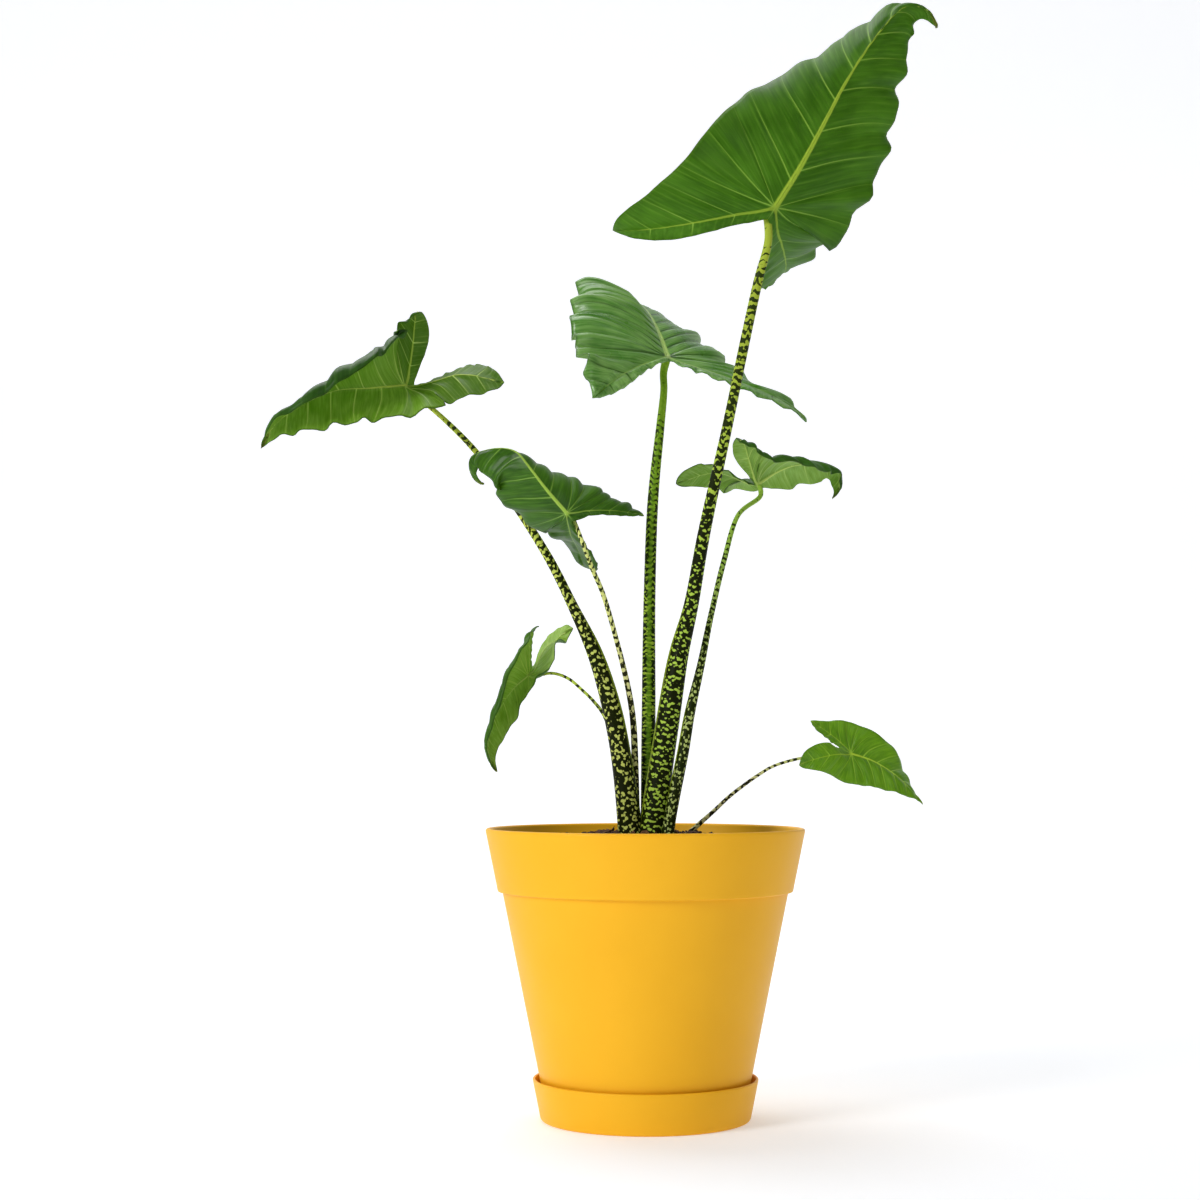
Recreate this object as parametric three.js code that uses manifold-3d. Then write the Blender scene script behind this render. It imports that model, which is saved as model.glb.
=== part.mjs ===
// Potted zebrina alocasia: seven arrow-shaped leaves on zebra-mottled stalks, growing from one corm
// in a yellow plastic pot that stands in its own saucer.
// Millimetres. Z is up, the middle of the saucer's underside is the origin, and -Y faces the viewer.
// "Left" and "right" of a leaf are seen on its upper face with the tip pointing up.

import * as THREE from 'three';
import Module from 'manifold-3d';

const wasm = await Module();
wasm.setup();
const { Manifold, Mesh } = wasm;

// Clearance left between two pieces that touch on the real plant.
const fitGap = 0.3;

// Pot
const potHeight = 221;
const potFloorBottom = 4;
const potBaseRadius = 77;
const potBodyTopRadius = 111.5;
const potBandBottomRadius = 115.5;
const potRimRadius = 125;
const potBandHeight = 49;
const potWall = 3;
const potFloorThickness = 3.5;
const potLipRadius = 2;
const potSides = 48;
const drainHoleCount = 5;
const drainHoleRadius = 5;
const drainRingRadius = 46;
const drainHoleSides = 10;

// Saucer
const saucerHeight = 32;
const saucerFootRadius = 79;
const saucerCornerRadius = 3;
const saucerRimRadius = 87.7;
const saucerWall = 2.2;
const saucerFloorTop = potFloorBottom - fitGap;

// Soil
const soilDepthBelowRim = 11;
const soilMoundHeight = 7.5;
const soilSides = 40;
// Upper surface from the pot's wall to the middle: [radius, share of the mound's height].
const soilMound = [[100, 0.1], [75, 0.35], [45, 0.8], [0, 1]];

// Corm that all the stalks grow from, buried in the soil.
const cormRadius = 24;
const cormTop = 186;
const cormBottom = 146;
const cormSides = 14;

// Leaf blades
const bladeThickness = 0.8;

// Flat shape of half a blade, in blade lengths: [out from the midrib, towards the tip].
// The junction with the stalk is at [0, 0], the tip at [0, 1] and the end of the lobe behind it.
const outerMargin = [
  [0.52, -0.45], [0.53, -0.37], [0.5, -0.22], [0.455, -0.05], [0.43, 0.1], [0.405, 0.27],
  [0.35, 0.45], [0.265, 0.62], [0.165, 0.78], [0.075, 0.9], [0.022, 0.965], [0, 1],
];
const lobeRib = [[0, 0], [0.13, -0.105], [0.26, -0.215], [0.39, -0.33], [0.52, -0.45]];
const innerMargin = [
  [0, -0.03], [0.03, -0.05], [0.09, -0.12], [0.18, -0.235],
  [0.25, -0.315], [0.34, -0.385], [0.43, -0.43], [0.52, -0.45],
];
const lobeEnd = 0.45;

// The seven blades. midrib runs from the junction with the stalk to the tip. Angles are in degrees, each
// list of four at the lobe's end, the junction, half way and the tip.
const leaves = {
  // Tallest leaf: upper face to the viewer, tip arching over.
  top: {
    midrib: [
      [100, -60, 704], [119, -65, 734], [137, -67, 767], [157, -63, 805],
      [183, -53, 845], [204, -46, 867], [220, -42, 867], [229, -43, 852],
    ],
    facing: [0.03, -0.98, -0.19],
    twist: -17,
    web: 0.01,
    left: {
      width: 0.76, lobe: 0.83, splay: 0.81, fringe: 0.7,
      knee: 12, swing: 38,
      drop: [-4, -9, 25, 39], curl: [30, 12, 27, 44],
      hem: [6, -8, 14, 17], hemFrom: 0.58,
      wave: 0.012, waves: 8, start: 0.1,
    },
    right: {
      width: 0.77, lobe: 1.2, splay: 0.75, fringe: 1.4,
      knee: 46, swing: 5,
      drop: [46, 36, 37, 43], curl: [25, 17, 4, 27],
      hem: [14, -4, 1, 10], hemFrom: 0.58,
      wave: 0.016, waves: 9, start: 0.3,
    },
  },
  // Second leaf: arched back, both lobes hanging forward.
  middle: {
    midrib: [
      [19, 20, 602], [12, 41, 627], [2, 68, 651], [-12, 96, 665],
      [-27, 128, 666], [-37, 148, 649],
    ],
    facing: [0.33, -0.68, 0.66],
    twist: 25,
    web: 0.03,
    left: {
      width: 1.08, lobe: 0.82, splay: 0.91, fringe: 0.7,
      knee: -4, swing: 74,
      drop: [-6, -3, -9, -10], curl: [8, 5, 50, 31],
      hem: [-15, 0, 21, 20], hemFrom: 0.55,
      wave: 0.03, waves: 7, start: 0.2,
    },
    right: {
      width: 0.81, lobe: 0.82, splay: 1.23, fringe: 1.2,
      knee: -18, swing: 21,
      drop: [-3, -9, 6, 18], curl: [8, 21, 20, -4],
      hem: [22, 16, 15, 10], hemFrom: 0.68,
      wave: 0.022, waves: 7, start: 0.5,
    },
  },
  // Left leaf: underside to the viewer, its upper hem rolled over.
  left: {
    midrib: [
      [-190, -10, 572], [-215, -31, 567], [-242, -51, 562], [-266, -66, 547],
      [-283, -75, 532], [-292, -76, 515],
    ],
    facing: [-0.43, 0.66, -0.62],
    twist: -33,
    web: 0.06,
    left: {
      width: 0.84, lobe: 0.86, splay: 0.78, fringe: 1.3,
      knee: 37, swing: 70,
      drop: [11, 14, 65, 38], curl: [84, 68, 72, 70],
      hem: [49, 63, 63, 93], hemFrom: 0.56,
      wave: 0.014, waves: 8, start: 0.1,
    },
    right: {
      width: 0.89, lobe: 1.24, splay: 1.05, fringe: 1.3,
      knee: 31, swing: 59,
      drop: [37, 36, 13, 37], curl: [1, 4, 25, 45],
      hem: [-35, -26, 25, 13], hemFrom: 0.48,
      wave: 0.014, waves: 9, start: 0.4,
    },
  },
  // Middle left leaf: hangs down, tip curled under.
  midLeft: {
    midrib: [
      [-61, -65, 466], [-77, -66, 485], [-89, -64, 501], [-101, -57, 515],
      [-121, -44, 518], [-136, -38, 512], [-135, -37, 499], [-126, -38, 492],
    ],
    facing: [-0.12, -0.98, -0.16],
    twist: 30,
    web: 0.01,
    left: {
      width: 0.79, lobe: 1.25, splay: 0.79, fringe: 1.8,
      knee: 34, swing: 0,
      drop: [44, 41, 15, 15], curl: [47, 30, 18, 9],
      hem: [-34, -7, 39, 20], hemFrom: 0.51,
      wave: 0.014, waves: 6, start: 0.2,
    },
    right: {
      width: 0.9, lobe: 0.68, splay: 0.83, fringe: 0.5,
      knee: 3, swing: -3,
      drop: [26, 31, 70, 38], curl: [21, 54, 18, 7],
      hem: [-6, 25, 11, -22], hemFrom: 0.68,
      wave: 0.012, waves: 6, start: 0.6,
    },
  },
  // Right leaf: seen from below, nearly flat.
  right: {
    midrib: [
      [94, 60, 504], [110, 74, 516], [125, 84, 523], [149, 98, 526],
      [165, 104, 520], [166, 105, 507], [160, 104, 498],
    ],
    facing: [-0.59, -0.04, 0.81],
    twist: 11,
    web: 0.03,
    left: {
      width: 0.88, lobe: 1.05, splay: 0.81, fringe: 1.7,
      knee: -62, swing: -17,
      drop: [-34, -40, 2, 3], curl: [90, 46, 58, 18],
      hem: [45, 11, -1, 3], hemFrom: 0.56,
      wave: 0.018, waves: 6, start: 0.1,
    },
    right: {
      width: 0.75, lobe: 0.79, splay: 0.76, fringe: 1.5,
      knee: -42, swing: -8,
      drop: [-53, -42, 11, 13], curl: [49, 47, 52, 53],
      hem: [67, 104, 51, 47], hemFrom: 0.67,
      wave: 0.014, waves: 7, start: 0.5,
    },
  },
  // Lowest left leaf: narrow, hanging, seen from below.
  lowLeft: {
    midrib: [
      [-93, 20, 345], [-104, 11, 335], [-114, 3, 320], [-123, -2, 298],
      [-123, -6, 282], [-116, -6, 269],
    ],
    facing: [-0.75, 0.6, 0.29],
    twist: 8,
    web: 0.13,
    left: {
      width: 0.84, lobe: 0.74, splay: 0.6, fringe: 1.4,
      knee: -34, swing: 10,
      drop: [-3, -1, 21, 12], curl: [60, 7, 44, 63],
      hem: [49, 72, 48, 87], hemFrom: 0.69,
      wave: 0.01, waves: 6, start: 0.3,
    },
    right: {
      width: 0.59, lobe: 1.72, splay: 0.56, fringe: 1.9,
      knee: -56, swing: 56,
      drop: [82, 94, 67, 52], curl: [55, 74, 68, 62],
      hem: [-36, 2, 0, -27], hemFrom: 0.63,
      wave: 0.012, waves: 6, start: 0.7,
    },
  },
  // Lowest right leaf, reaching over the rim.
  lowRight: {
    midrib: [
      [169, 60, 283], [187, 64, 277], [205, 66, 266], [218, 69, 254],
      [228, 71, 242],
    ],
    facing: [0.36, -0.63, 0.69],
    twist: -24,
    web: 0.15,
    left: {
      width: 1.01, lobe: 1.02, splay: 0.73, fringe: 1,
      knee: 2, swing: 6,
      drop: [4, 3, -6, 14], curl: [-9, -16, -24, 13],
      hem: [11, -25, 8, 18], hemFrom: 0.56,
      wave: 0.012, waves: 5, start: 0.2,
    },
    right: {
      width: 0.83, lobe: 1.33, splay: 0.93, fringe: 1.8,
      knee: -43, swing: 62,
      drop: [9, 5, 16, 20], curl: [55, 44, 34, 26],
      hem: [-22, -12, -4, -35], hemFrom: 0.69,
      wave: 0.012, waves: 5, start: 0.6,
    },
  },
};

// The seven stalks, each as [x, y, z, radius, sheath] from the corm up. sheathSide is where the thin
// sheath edge looks. The last bend is standOff radii below the blade and lead radii back along arrive,
// the direction in which the stalk comes up. Where down is given, the stalk ends in that line.
const stalkFoot = cormTop + fitGap;
const stalks = {
  top: {
    path: [
      [6, -9, stalkFoot, 9.3, 0], [6, -9, 200, 9.3, 0], [6, -9, 222, 9.3, 0.6],
      [19, -11, 314, 8.6, 1.2], [27, -11, 361, 7.2, 1.4], [36, -14, 398, 5.6, 0.6],
      [46, -20, 455, 5, 0], [64, -32, 538, 4.1, 0], [76, -44, 597, 3.9, 0], [87, -52, 648, 3.6, 0],
      [95, -54, 680, 3.1, 0],
    ],
    topRadius: 3.1,
    standOff: 4.5,
    lead: 0.5,
    arrive: [0.15, 0, 0.99],
    sheathSide: [-1, 0.3, 0],
  },
  middle: {
    path: [
      [2, 7.5, stalkFoot, 5.4, 0], [2, 7.5, 200, 5.4, 0], [2, 7.5, 222, 5.4, 0], [3, 7, 314, 5.5, 0],
      [4, 8, 410, 4.7, 0], [7, 11, 487, 4.3, 0], [13, 15, 545, 3.4, 0], [16, 18, 575, 2.9, 0],
    ],
    topRadius: 2.9,
    standOff: 3,
    lead: 2,
    arrive: [0.1, 0.2, 0.98],
    sheathSide: [0, -1, 0],
  },
  left: {
    path: [
      [-12, -7, stalkFoot, 8.2, 0], [-12, -7, 200, 8.2, 0], [-12, -7, 222, 8.2, 0.4],
      [-20, -9, 286, 7.6, 0.8], [-28, -10, 323, 6.8, 1.6], [-40, -10, 361, 5.4, 1.8],
      [-57, -10, 399, 4, 0.3], [-76, -10, 437, 3.5, 0], [-110, -9, 490, 3, 0], [-135, -8, 523, 2.3, 0],
      [-158, -12, 546, 2, 0], [-176, -15, 561, 1.8, 0],
    ],
    topRadius: 1.8,
    standOff: 3,
    lead: 0,
    down: [0.77, 0, -0.64],
    arrive: [-0.78, 0, 0.62],
    sheathSide: [1, 0.2, 0],
  },
  midLeft: {
    path: [
      [-7.5, 7, stalkFoot, 3.2, 0], [-7.5, 7, 200, 3.2, 0], [-7.5, 7, 222, 3.2, 0],
      [-9, 1, 305, 2.5, 0], [-13, -4, 333, 2.3, 0], [-22, -13, 370, 2, 0], [-33, -26, 407, 1.9, 0],
      [-42, -44, 427, 1.8, 0], [-49, -57, 445, 1.6, 0],
    ],
    topRadius: 1.6,
    standOff: 6,
    lead: 1.5,
    arrive: [-0.42, -0.32, 0.85],
    sheathSide: [1, 0, 0],
  },
  right: {
    path: [
      [17.5, -17, stalkFoot, 4.4, 0], [17.5, -17, 200, 4.4, 0], [17.5, -17, 222, 4.4, 0.4],
      [30, -15, 286, 4.2, 0.8], [35, -12, 314, 3.8, 0.8], [44, -3, 352, 3, 0.3], [52, 5, 390, 2.4, 0],
      [64, 18, 438, 2.2, 0], [76, 32, 475, 1.9, 0],
    ],
    topRadius: 1.9,
    standOff: 3,
    lead: 2,
    arrive: [0.51, 0.3, 0.81],
    sheathSide: [-1, 0.2, 0],
  },
  lowLeft: {
    path: [
      [-15, 6.5, stalkFoot, 2.3, 0], [-15, 6.5, 200, 2.3, 0], [-15, 6.5, 222, 2.3, 0],
      [-22, 5, 270, 1.9, 0], [-31, 9, 311, 1.5, 0], [-40, 12, 324, 1.3, 0], [-49, 14, 333, 1.2, 0],
      [-61, 17, 343, 1.2, 0], [-74, 16, 347, 1.2, 0],
    ],
    topRadius: 1.1,
    standOff: 3,
    lead: 0,
    down: [0.88, 0.32, -0.34],
    arrive: [-1, 0, 0.1],
    sheathSide: [0, -1, 0],
  },
  lowRight: {
    path: [
      [14, 7, stalkFoot, 2.2, 0], [14, 7, 200, 2.2, 0], [40, 12, 225, 1.9, 0], [55, 16, 238, 1.6, 0],
      [66, 21, 248, 1.5, 0], [78, 28, 257, 1.4, 0], [93, 36, 267, 1.3, 0], [104, 42, 273, 1.2, 0],
      [125, 50, 279, 1.2, 0], [147, 56, 282, 1.1, 0],
    ],
    topRadius: 1.1,
    standOff: 3,
    lead: 2,
    arrive: [0.98, 0.2, 0.1],
    sheathSide: [0, -1, 0],
  },
};

// Vector helpers on plain [x, y, z] arrays.
const add = (a, b) => a.map((v, i) => v + b[i]);
const sub = (a, b) => a.map((v, i) => v - b[i]);
const scale = (a, k) => a.map((v) => v * k);
const dot = (a, b) => a.reduce((sum, v, i) => sum + v * b[i], 0);
const length = (a) => Math.sqrt(dot(a, a));
const unit = (a) => scale(a, 1 / length(a));
const mix = (a, b, t) => a.map((v, i) => v + (b[i] - v) * t);
const cross = (a, b) => [a[1] * b[2] - a[2] * b[1], a[2] * b[0] - a[0] * b[2], a[0] * b[1] - a[1] * b[0]];
const radians = (degrees) => (degrees * Math.PI) / 180;
const clamp = (v, low, high) => Math.min(Math.max(v, low), high);
const ease = (t) => {
  const q = clamp(t, 0, 1);
  return q * q * (3 - 2 * q);
};
const turned = (v, axis, angle) => {
  const c = Math.cos(angle);
  const across = cross(axis, v);
  return v.map((x, i) => x * c + across[i] * Math.sin(angle) + axis[i] * dot(v, axis) * (1 - c));
};

// A smooth curve through the points, as a function of the fraction of its length.
const stepsPerSpan = 12;
function smoothCurve(points) {
  const ends = [sub(scale(points[0], 2), points[1]), sub(scale(points.at(-1), 2), points.at(-2))];
  const p = [ends[0], ...points, ends[1]];
  const fine = [];
  for (let i = 1; i < p.length - 2; i += 1) {
    const [p0, p1, p2, p3] = [p[i - 1], p[i], p[i + 1], p[i + 2]];
    const t1 = Math.sqrt(length(sub(p1, p0)));
    const t2 = t1 + Math.sqrt(length(sub(p2, p1)));
    const t3 = t2 + Math.sqrt(length(sub(p3, p2)));
    for (let k = 0; k < stepsPerSpan; k += 1) {
      const t = t1 + ((t2 - t1) * k) / stepsPerSpan;
      const a1 = mix(p0, p1, t / t1);
      const a2 = mix(p1, p2, (t - t1) / (t2 - t1));
      const a3 = mix(p2, p3, (t - t2) / (t3 - t2));
      const b1 = mix(a1, a2, t / t2);
      const b2 = mix(a2, a3, (t - t1) / (t3 - t1));
      fine.push(mix(b1, b2, (t - t1) / (t2 - t1)));
    }
  }
  fine.push(points.at(-1));
  const reach = [0];
  for (let i = 1; i < fine.length; i += 1) reach.push(reach[i - 1] + length(sub(fine[i], fine[i - 1])));
  const total = reach.at(-1);
  const at = (fraction) => {
    const wanted = clamp(fraction, 0, 1) * total;
    let i = 1;
    while (i < reach.length - 1 && reach[i] < wanted) i += 1;
    const t = (wanted - reach[i - 1]) / (reach[i] - reach[i - 1]);
    return mix(fine[i - 1], fine[i], clamp(t, 0, 1));
  };
  return { at, total, fine };
}

// A curve with a direction and a facing at each of its steps, the facing carried along without turning.
function framedCurve(points, facing, steps) {
  const curve = smoothCurve(points);
  const place = Array.from({ length: steps + 1 }, (_, i) => curve.at(i / steps));
  const along = place.map((_, i) => {
    const a = place[Math.max(i - 1, 0)];
    const b = place[Math.min(i + 1, steps)];
    return unit(sub(b, a));
  });
  const facings = [];
  let f = facing;
  for (let i = 0; i <= steps; i += 1) {
    f = unit(sub(f, scale(along[i], dot(f, along[i]))));
    facings.push(f);
  }
  return { place, along, facings, total: curve.total, steps };
}

// Smooth value between four given ones: at the lobe's end, the junction, half way and the tip.
const stationAt = [-lobeEnd, 0, 0.5, 1];
function between(values, y) {
  const q = clamp(y, -0.5, 1);
  return values.reduce((sum, value, i) => {
    const weight = stationAt.reduce((w, x, j) => (j === i ? w : (w * (q - x)) / (stationAt[i] - x)), 1);
    return sum + value * weight;
  }, 0);
}

// How far a strip goes along and down, starting at an angle and turning evenly.
function bentStrip(angle, turn, distance) {
  const k = Math.abs(turn) < 1e-6 ? 1e-6 : turn;
  const end = angle + k * distance;
  return [(Math.sin(end) - Math.sin(angle)) / k, (Math.cos(angle) - Math.cos(end)) / k, end];
}

// Half of a flat blade as two grids of points in blade lengths. Their lines run as the side veins do:
// from the midrib, the junction or the lobe's rib out to the margin.
const outerCurve = smoothCurve(outerMargin);
const ribCurve = smoothCurve(lobeRib);
const innerCurve = smoothCurve(innerMargin);
const fanStart = -0.06;
const fanEnd = 0.25;
const veinLead = 0.25;
const veinBow = 0.1;
const lobeVeinBow = 0.04;
const bisections = 24;

function outerFractionAt(y) {
  let low = 0;
  let high = 1;
  for (let i = 0; i < bisections; i += 1) {
    const middle = (low + high) / 2;
    if (outerCurve.at(middle)[1] < y) low = middle;
    else high = middle;
  }
  return high;
}

const sinusBlend = 0.12;

function shapedBy(half) {
  return ([x, y]) => {
    const towardsLobe = ease(-y / lobeEnd);
    const off = ease(x / sinusBlend);
    const wide = half.width * (1 - towardsLobe) + half.splay * towardsLobe;
    return [x * wide, y < 0 ? y * (1 + (half.lobe - 1) * off) : y];
  };
}

// The web joins both lobes behind the junction; it reaches far on young leaves.
const webBlend = 0.25;

function innerEdge(half, web, q) {
  const rib = ribCurve.at(q);
  const edge = mix(rib, innerCurve.at(q), half.fringe);
  const own = innerMargin[0][1] * half.fringe;
  return [edge[0], edge[1] - (web + own) * (1 - ease(edge[0] / webBlend))];
}

function halfGrids(half, web, rows) {
  const shaped = shapedBy(half);
  const startFraction = outerFractionAt(fanStart);
  const endFraction = outerFractionAt(fanEnd);
  const lines = [];
  for (let i = 0; i < rows.lobe; i += 1) {
    const q = i / rows.lobe;
    const m = q ** 0.9 * startFraction;
    lines.push({ from: shaped(ribCurve.at(1 - q)), to: shaped(outerCurve.at(m)), m, bow: lobeVeinBow });
  }
  for (let i = 0; i <= rows.fan; i += 1) {
    const m = startFraction + ((endFraction - startFraction) * i) / rows.fan;
    lines.push({ from: [0, 0], to: shaped(outerCurve.at(m)), m, bow: veinBow });
  }
  for (let i = 1; i <= rows.blade; i += 1) {
    const y = i / rows.blade;
    const m = outerFractionAt(Math.min(y + veinLead * (1 - y) ** 0.6, 1));
    const to = i === rows.blade ? [0, 1] : shaped(outerCurve.at(m));
    lines.push({ from: [0, y], to, m, bow: veinBow });
  }
  const outer = lines.map(({ from, to, m, bow }) => {
    const d = sub(to, from);
    const far = length(d);
    const sideways = d[0] > 0 ? [d[1], -d[0]] : [-d[1], d[0]];
    return Array.from({ length: rows.across + 1 }, (_, j) => {
      const s = j / rows.across;
      const straight = add(from, scale(d, s));
      const push = far > 0 ? bow * s * (1 - s) : 0;
      return { flat: add(straight, scale(sideways, push)), s, m };
    });
  });
  const inner = Array.from({ length: rows.lobe + 1 }, (_, i) => {
    const q = i / rows.lobe;
    const rib = ribCurve.at(1 - q);
    const edge = innerEdge(half, web, 1 - q);
    return Array.from({ length: rows.fringe + 1 }, (_, j) => {
      const s = j / rows.fringe;
      return { flat: mix(shaped(rib), shaped(edge), s), s: -s, m: q };
    });
  });
  return { outer, inner };
}

// Carries a point of the flat blade to its place on the grown leaf. Each half drops from the midrib,
// curls, and turns its hem over; behind the junction the lobes swing back.
const kneeLength = 0.06;
const curlSpan = 0.4;
const hemSlack = 0.01;
const backSteps = 8;

function placed(leaf, rib, side, [fx, fy], s, m) {
  const half = side > 0 ? leaf.right : leaf.left;
  const other = side > 0 ? leaf.left : leaf.right;
  const size = rib.total;
  const x = fx * size;
  const y = fy * size;
  const station = clamp(fy, 0, 1) * rib.steps;
  const i = Math.min(Math.floor(station), rib.steps - 1);
  const t = station - i;
  let place = mix(rib.place[i], rib.place[i + 1], t);
  const along = unit(mix(rib.along[i], rib.along[i + 1], t));
  let facing = unit(mix(rib.facings[i], rib.facings[i + 1], t));
  facing = turned(facing, along, radians(leaf.twist) * clamp(fy, 0, 1));
  const across = cross(along, facing);
  if (y < 0) {
    const off = ease(fx / sinusBlend);
    const knee = radians(mix([(half.knee + other.knee) / 2], [half.knee], off)[0]);
    const swing = radians(mix([(half.swing + other.swing) / 2], [half.swing], off)[0]) / size;
    const bendAt = (q) => knee * (1 - Math.exp(-q / (kneeLength * size))) + swing * q;
    let run = 0;
    let fall = 0;
    for (let k = 0; k < backSteps; k += 1) {
      const angle = bendAt((-y * (k + 0.5)) / backSteps);
      run += (Math.cos(angle) * -y) / backSteps;
      fall += (Math.sin(angle) * -y) / backSteps;
    }
    const end = bendAt(-y);
    place = sub(sub(place, scale(along, run)), scale(facing, fall));
    facing = sub(scale(facing, Math.cos(end)), scale(along, Math.sin(end)));
  }
  const behind = fy < 0 ? fy / half.lobe : fy;
  const towardsLobe = ease(-behind / lobeEnd);
  const wide = half.width * (1 - towardsLobe) + half.splay * towardsLobe;
  const halfWidth = (outerCurve.at(outerFractionAt(behind))[0] * wide + hemSlack) * size;
  const hemStart = half.hemFrom * halfWidth;
  const curl = radians(between(half.curl, fy)) / (curlSpan * size);
  const hem = radians(between(half.hem, fy)) / (halfWidth - hemStart);
  const flatPart = bentStrip(radians(between(half.drop, fy)), curl, Math.min(x, hemStart));
  const hemPart = bentStrip(flatPart[2], curl + hem, Math.max(x - hemStart, 0));
  const out = flatPart[0] + hemPart[0];
  const down = flatPart[1] + hemPart[1];
  const outward = scale(across, side);
  const point = sub(add(place, scale(outward, out)), scale(facing, down));
  const normal = add(scale(facing, Math.cos(hemPart[2])), scale(outward, Math.sin(hemPart[2])));
  return add(point, scale(normal, ruffle(half, s, m) * size));
}

// The margin's waves, strongest at the edge and dying out at the blade's tip and the lobe's end.
const secondWave = 0.45;
const secondRate = 1.7;
const innerShare = 0.4;
const fadeLength = 0.12;

function ruffle(half, s, m) {
  const phase = 2 * Math.PI * (half.waves * m + half.start);
  const wave = Math.sin(phase) + secondWave * Math.sin(secondRate * phase + 1);
  const fade = ease(m / fadeLength) * ease((1 - m) / fadeLength);
  return half.wave * wave * fade * s * s * (s < 0 ? innerShare : 1);
}

// A closed thin body from a surface: both faces carry the same triangles, and a rim joins them.
function thickened(grids, thickness) {
  const points = [];
  const index = new Map();
  const vertex = (p) => {
    const key = p.map((v) => Math.round(v * 500)).join();
    if (!index.has(key)) {
      index.set(key, points.length);
      points.push(p);
    }
    return index.get(key);
  };
  const triangles = [];
  for (const { grid, flip } of grids) {
    const ids = grid.map((row) => row.map(vertex));
    for (let i = 0; i + 1 < ids.length; i += 1) {
      for (let j = 0; j + 1 < ids[i].length; j += 1) {
        const quad = [ids[i][j], ids[i][j + 1], ids[i + 1][j + 1], ids[i + 1][j]];
        if (flip) quad.reverse();
        for (const tri of [[quad[0], quad[1], quad[2]], [quad[0], quad[2], quad[3]]]) {
          if (new Set(tri).size === 3) triangles.push(tri);
        }
      }
    }
  }
  const normals = points.map(() => [0, 0, 0]);
  for (const [a, b, c] of triangles) {
    const n = cross(sub(points[b], points[a]), sub(points[c], points[a]));
    for (const k of [a, b, c]) normals[k] = add(normals[k], n);
  }
  const count = points.length;
  const offset = (sign) => points.map((p, k) => add(p, scale(unit(normals[k]), (sign * thickness) / 2)));
  const all = [...offset(1), ...offset(-1)];
  const faces = [];
  const edges = new Map();
  for (const [a, b, c] of triangles) {
    faces.push([a, b, c], [a + count, c + count, b + count]);
    for (const [from, to] of [[a, b], [b, c], [c, a]]) edges.set(`${from},${to}`, [from, to]);
  }
  for (const [from, to] of edges.values()) {
    if (!edges.has(`${to},${from}`)) {
      faces.push([from, from + count, to], [to, from + count, to + count]);
    }
  }
  return geometryOf(all, faces);
}

function geometryOf(points, faces) {
  const geometry = new THREE.BufferGeometry();
  geometry.setAttribute('position', new THREE.Float32BufferAttribute(points.flat(), 3));
  geometry.setIndex(faces.flat());
  geometry.computeVertexNormals();
  return geometry;
}

const ribSteps = 60;

function ribOf(leaf) {
  return framedCurve(leaf.midrib, leaf.facing, ribSteps);
}

function bladeOf(leaf, rows) {
  const rib = ribOf(leaf);
  const grids = [];
  for (const side of [-1, 1]) {
    const { outer, inner } = halfGrids(side > 0 ? leaf.right : leaf.left, leaf.web, rows);
    const carry = (grid) => (
      grid.map((row) => row.map(({ flat, s, m }) => placed(leaf, rib, side, flat, s, m)))
    );
    grids.push({ grid: carry(outer), flip: side < 0 });
    grids.push({ grid: carry(inner), flip: side > 0 });
  }
  return thickened(grids, bladeThickness);
}

// A stalk: rings round a smooth path of [x, y, z, radius, sheath], closed at both ends. The sheath is
// how far the thin edge stands out that wraps the younger stalks near the ground. The top comes up
// under the blade, midway between its two halves, or in line with the stalk's own down direction.
const topTaper = 0.75;
const inLineGap = 0.9;

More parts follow.
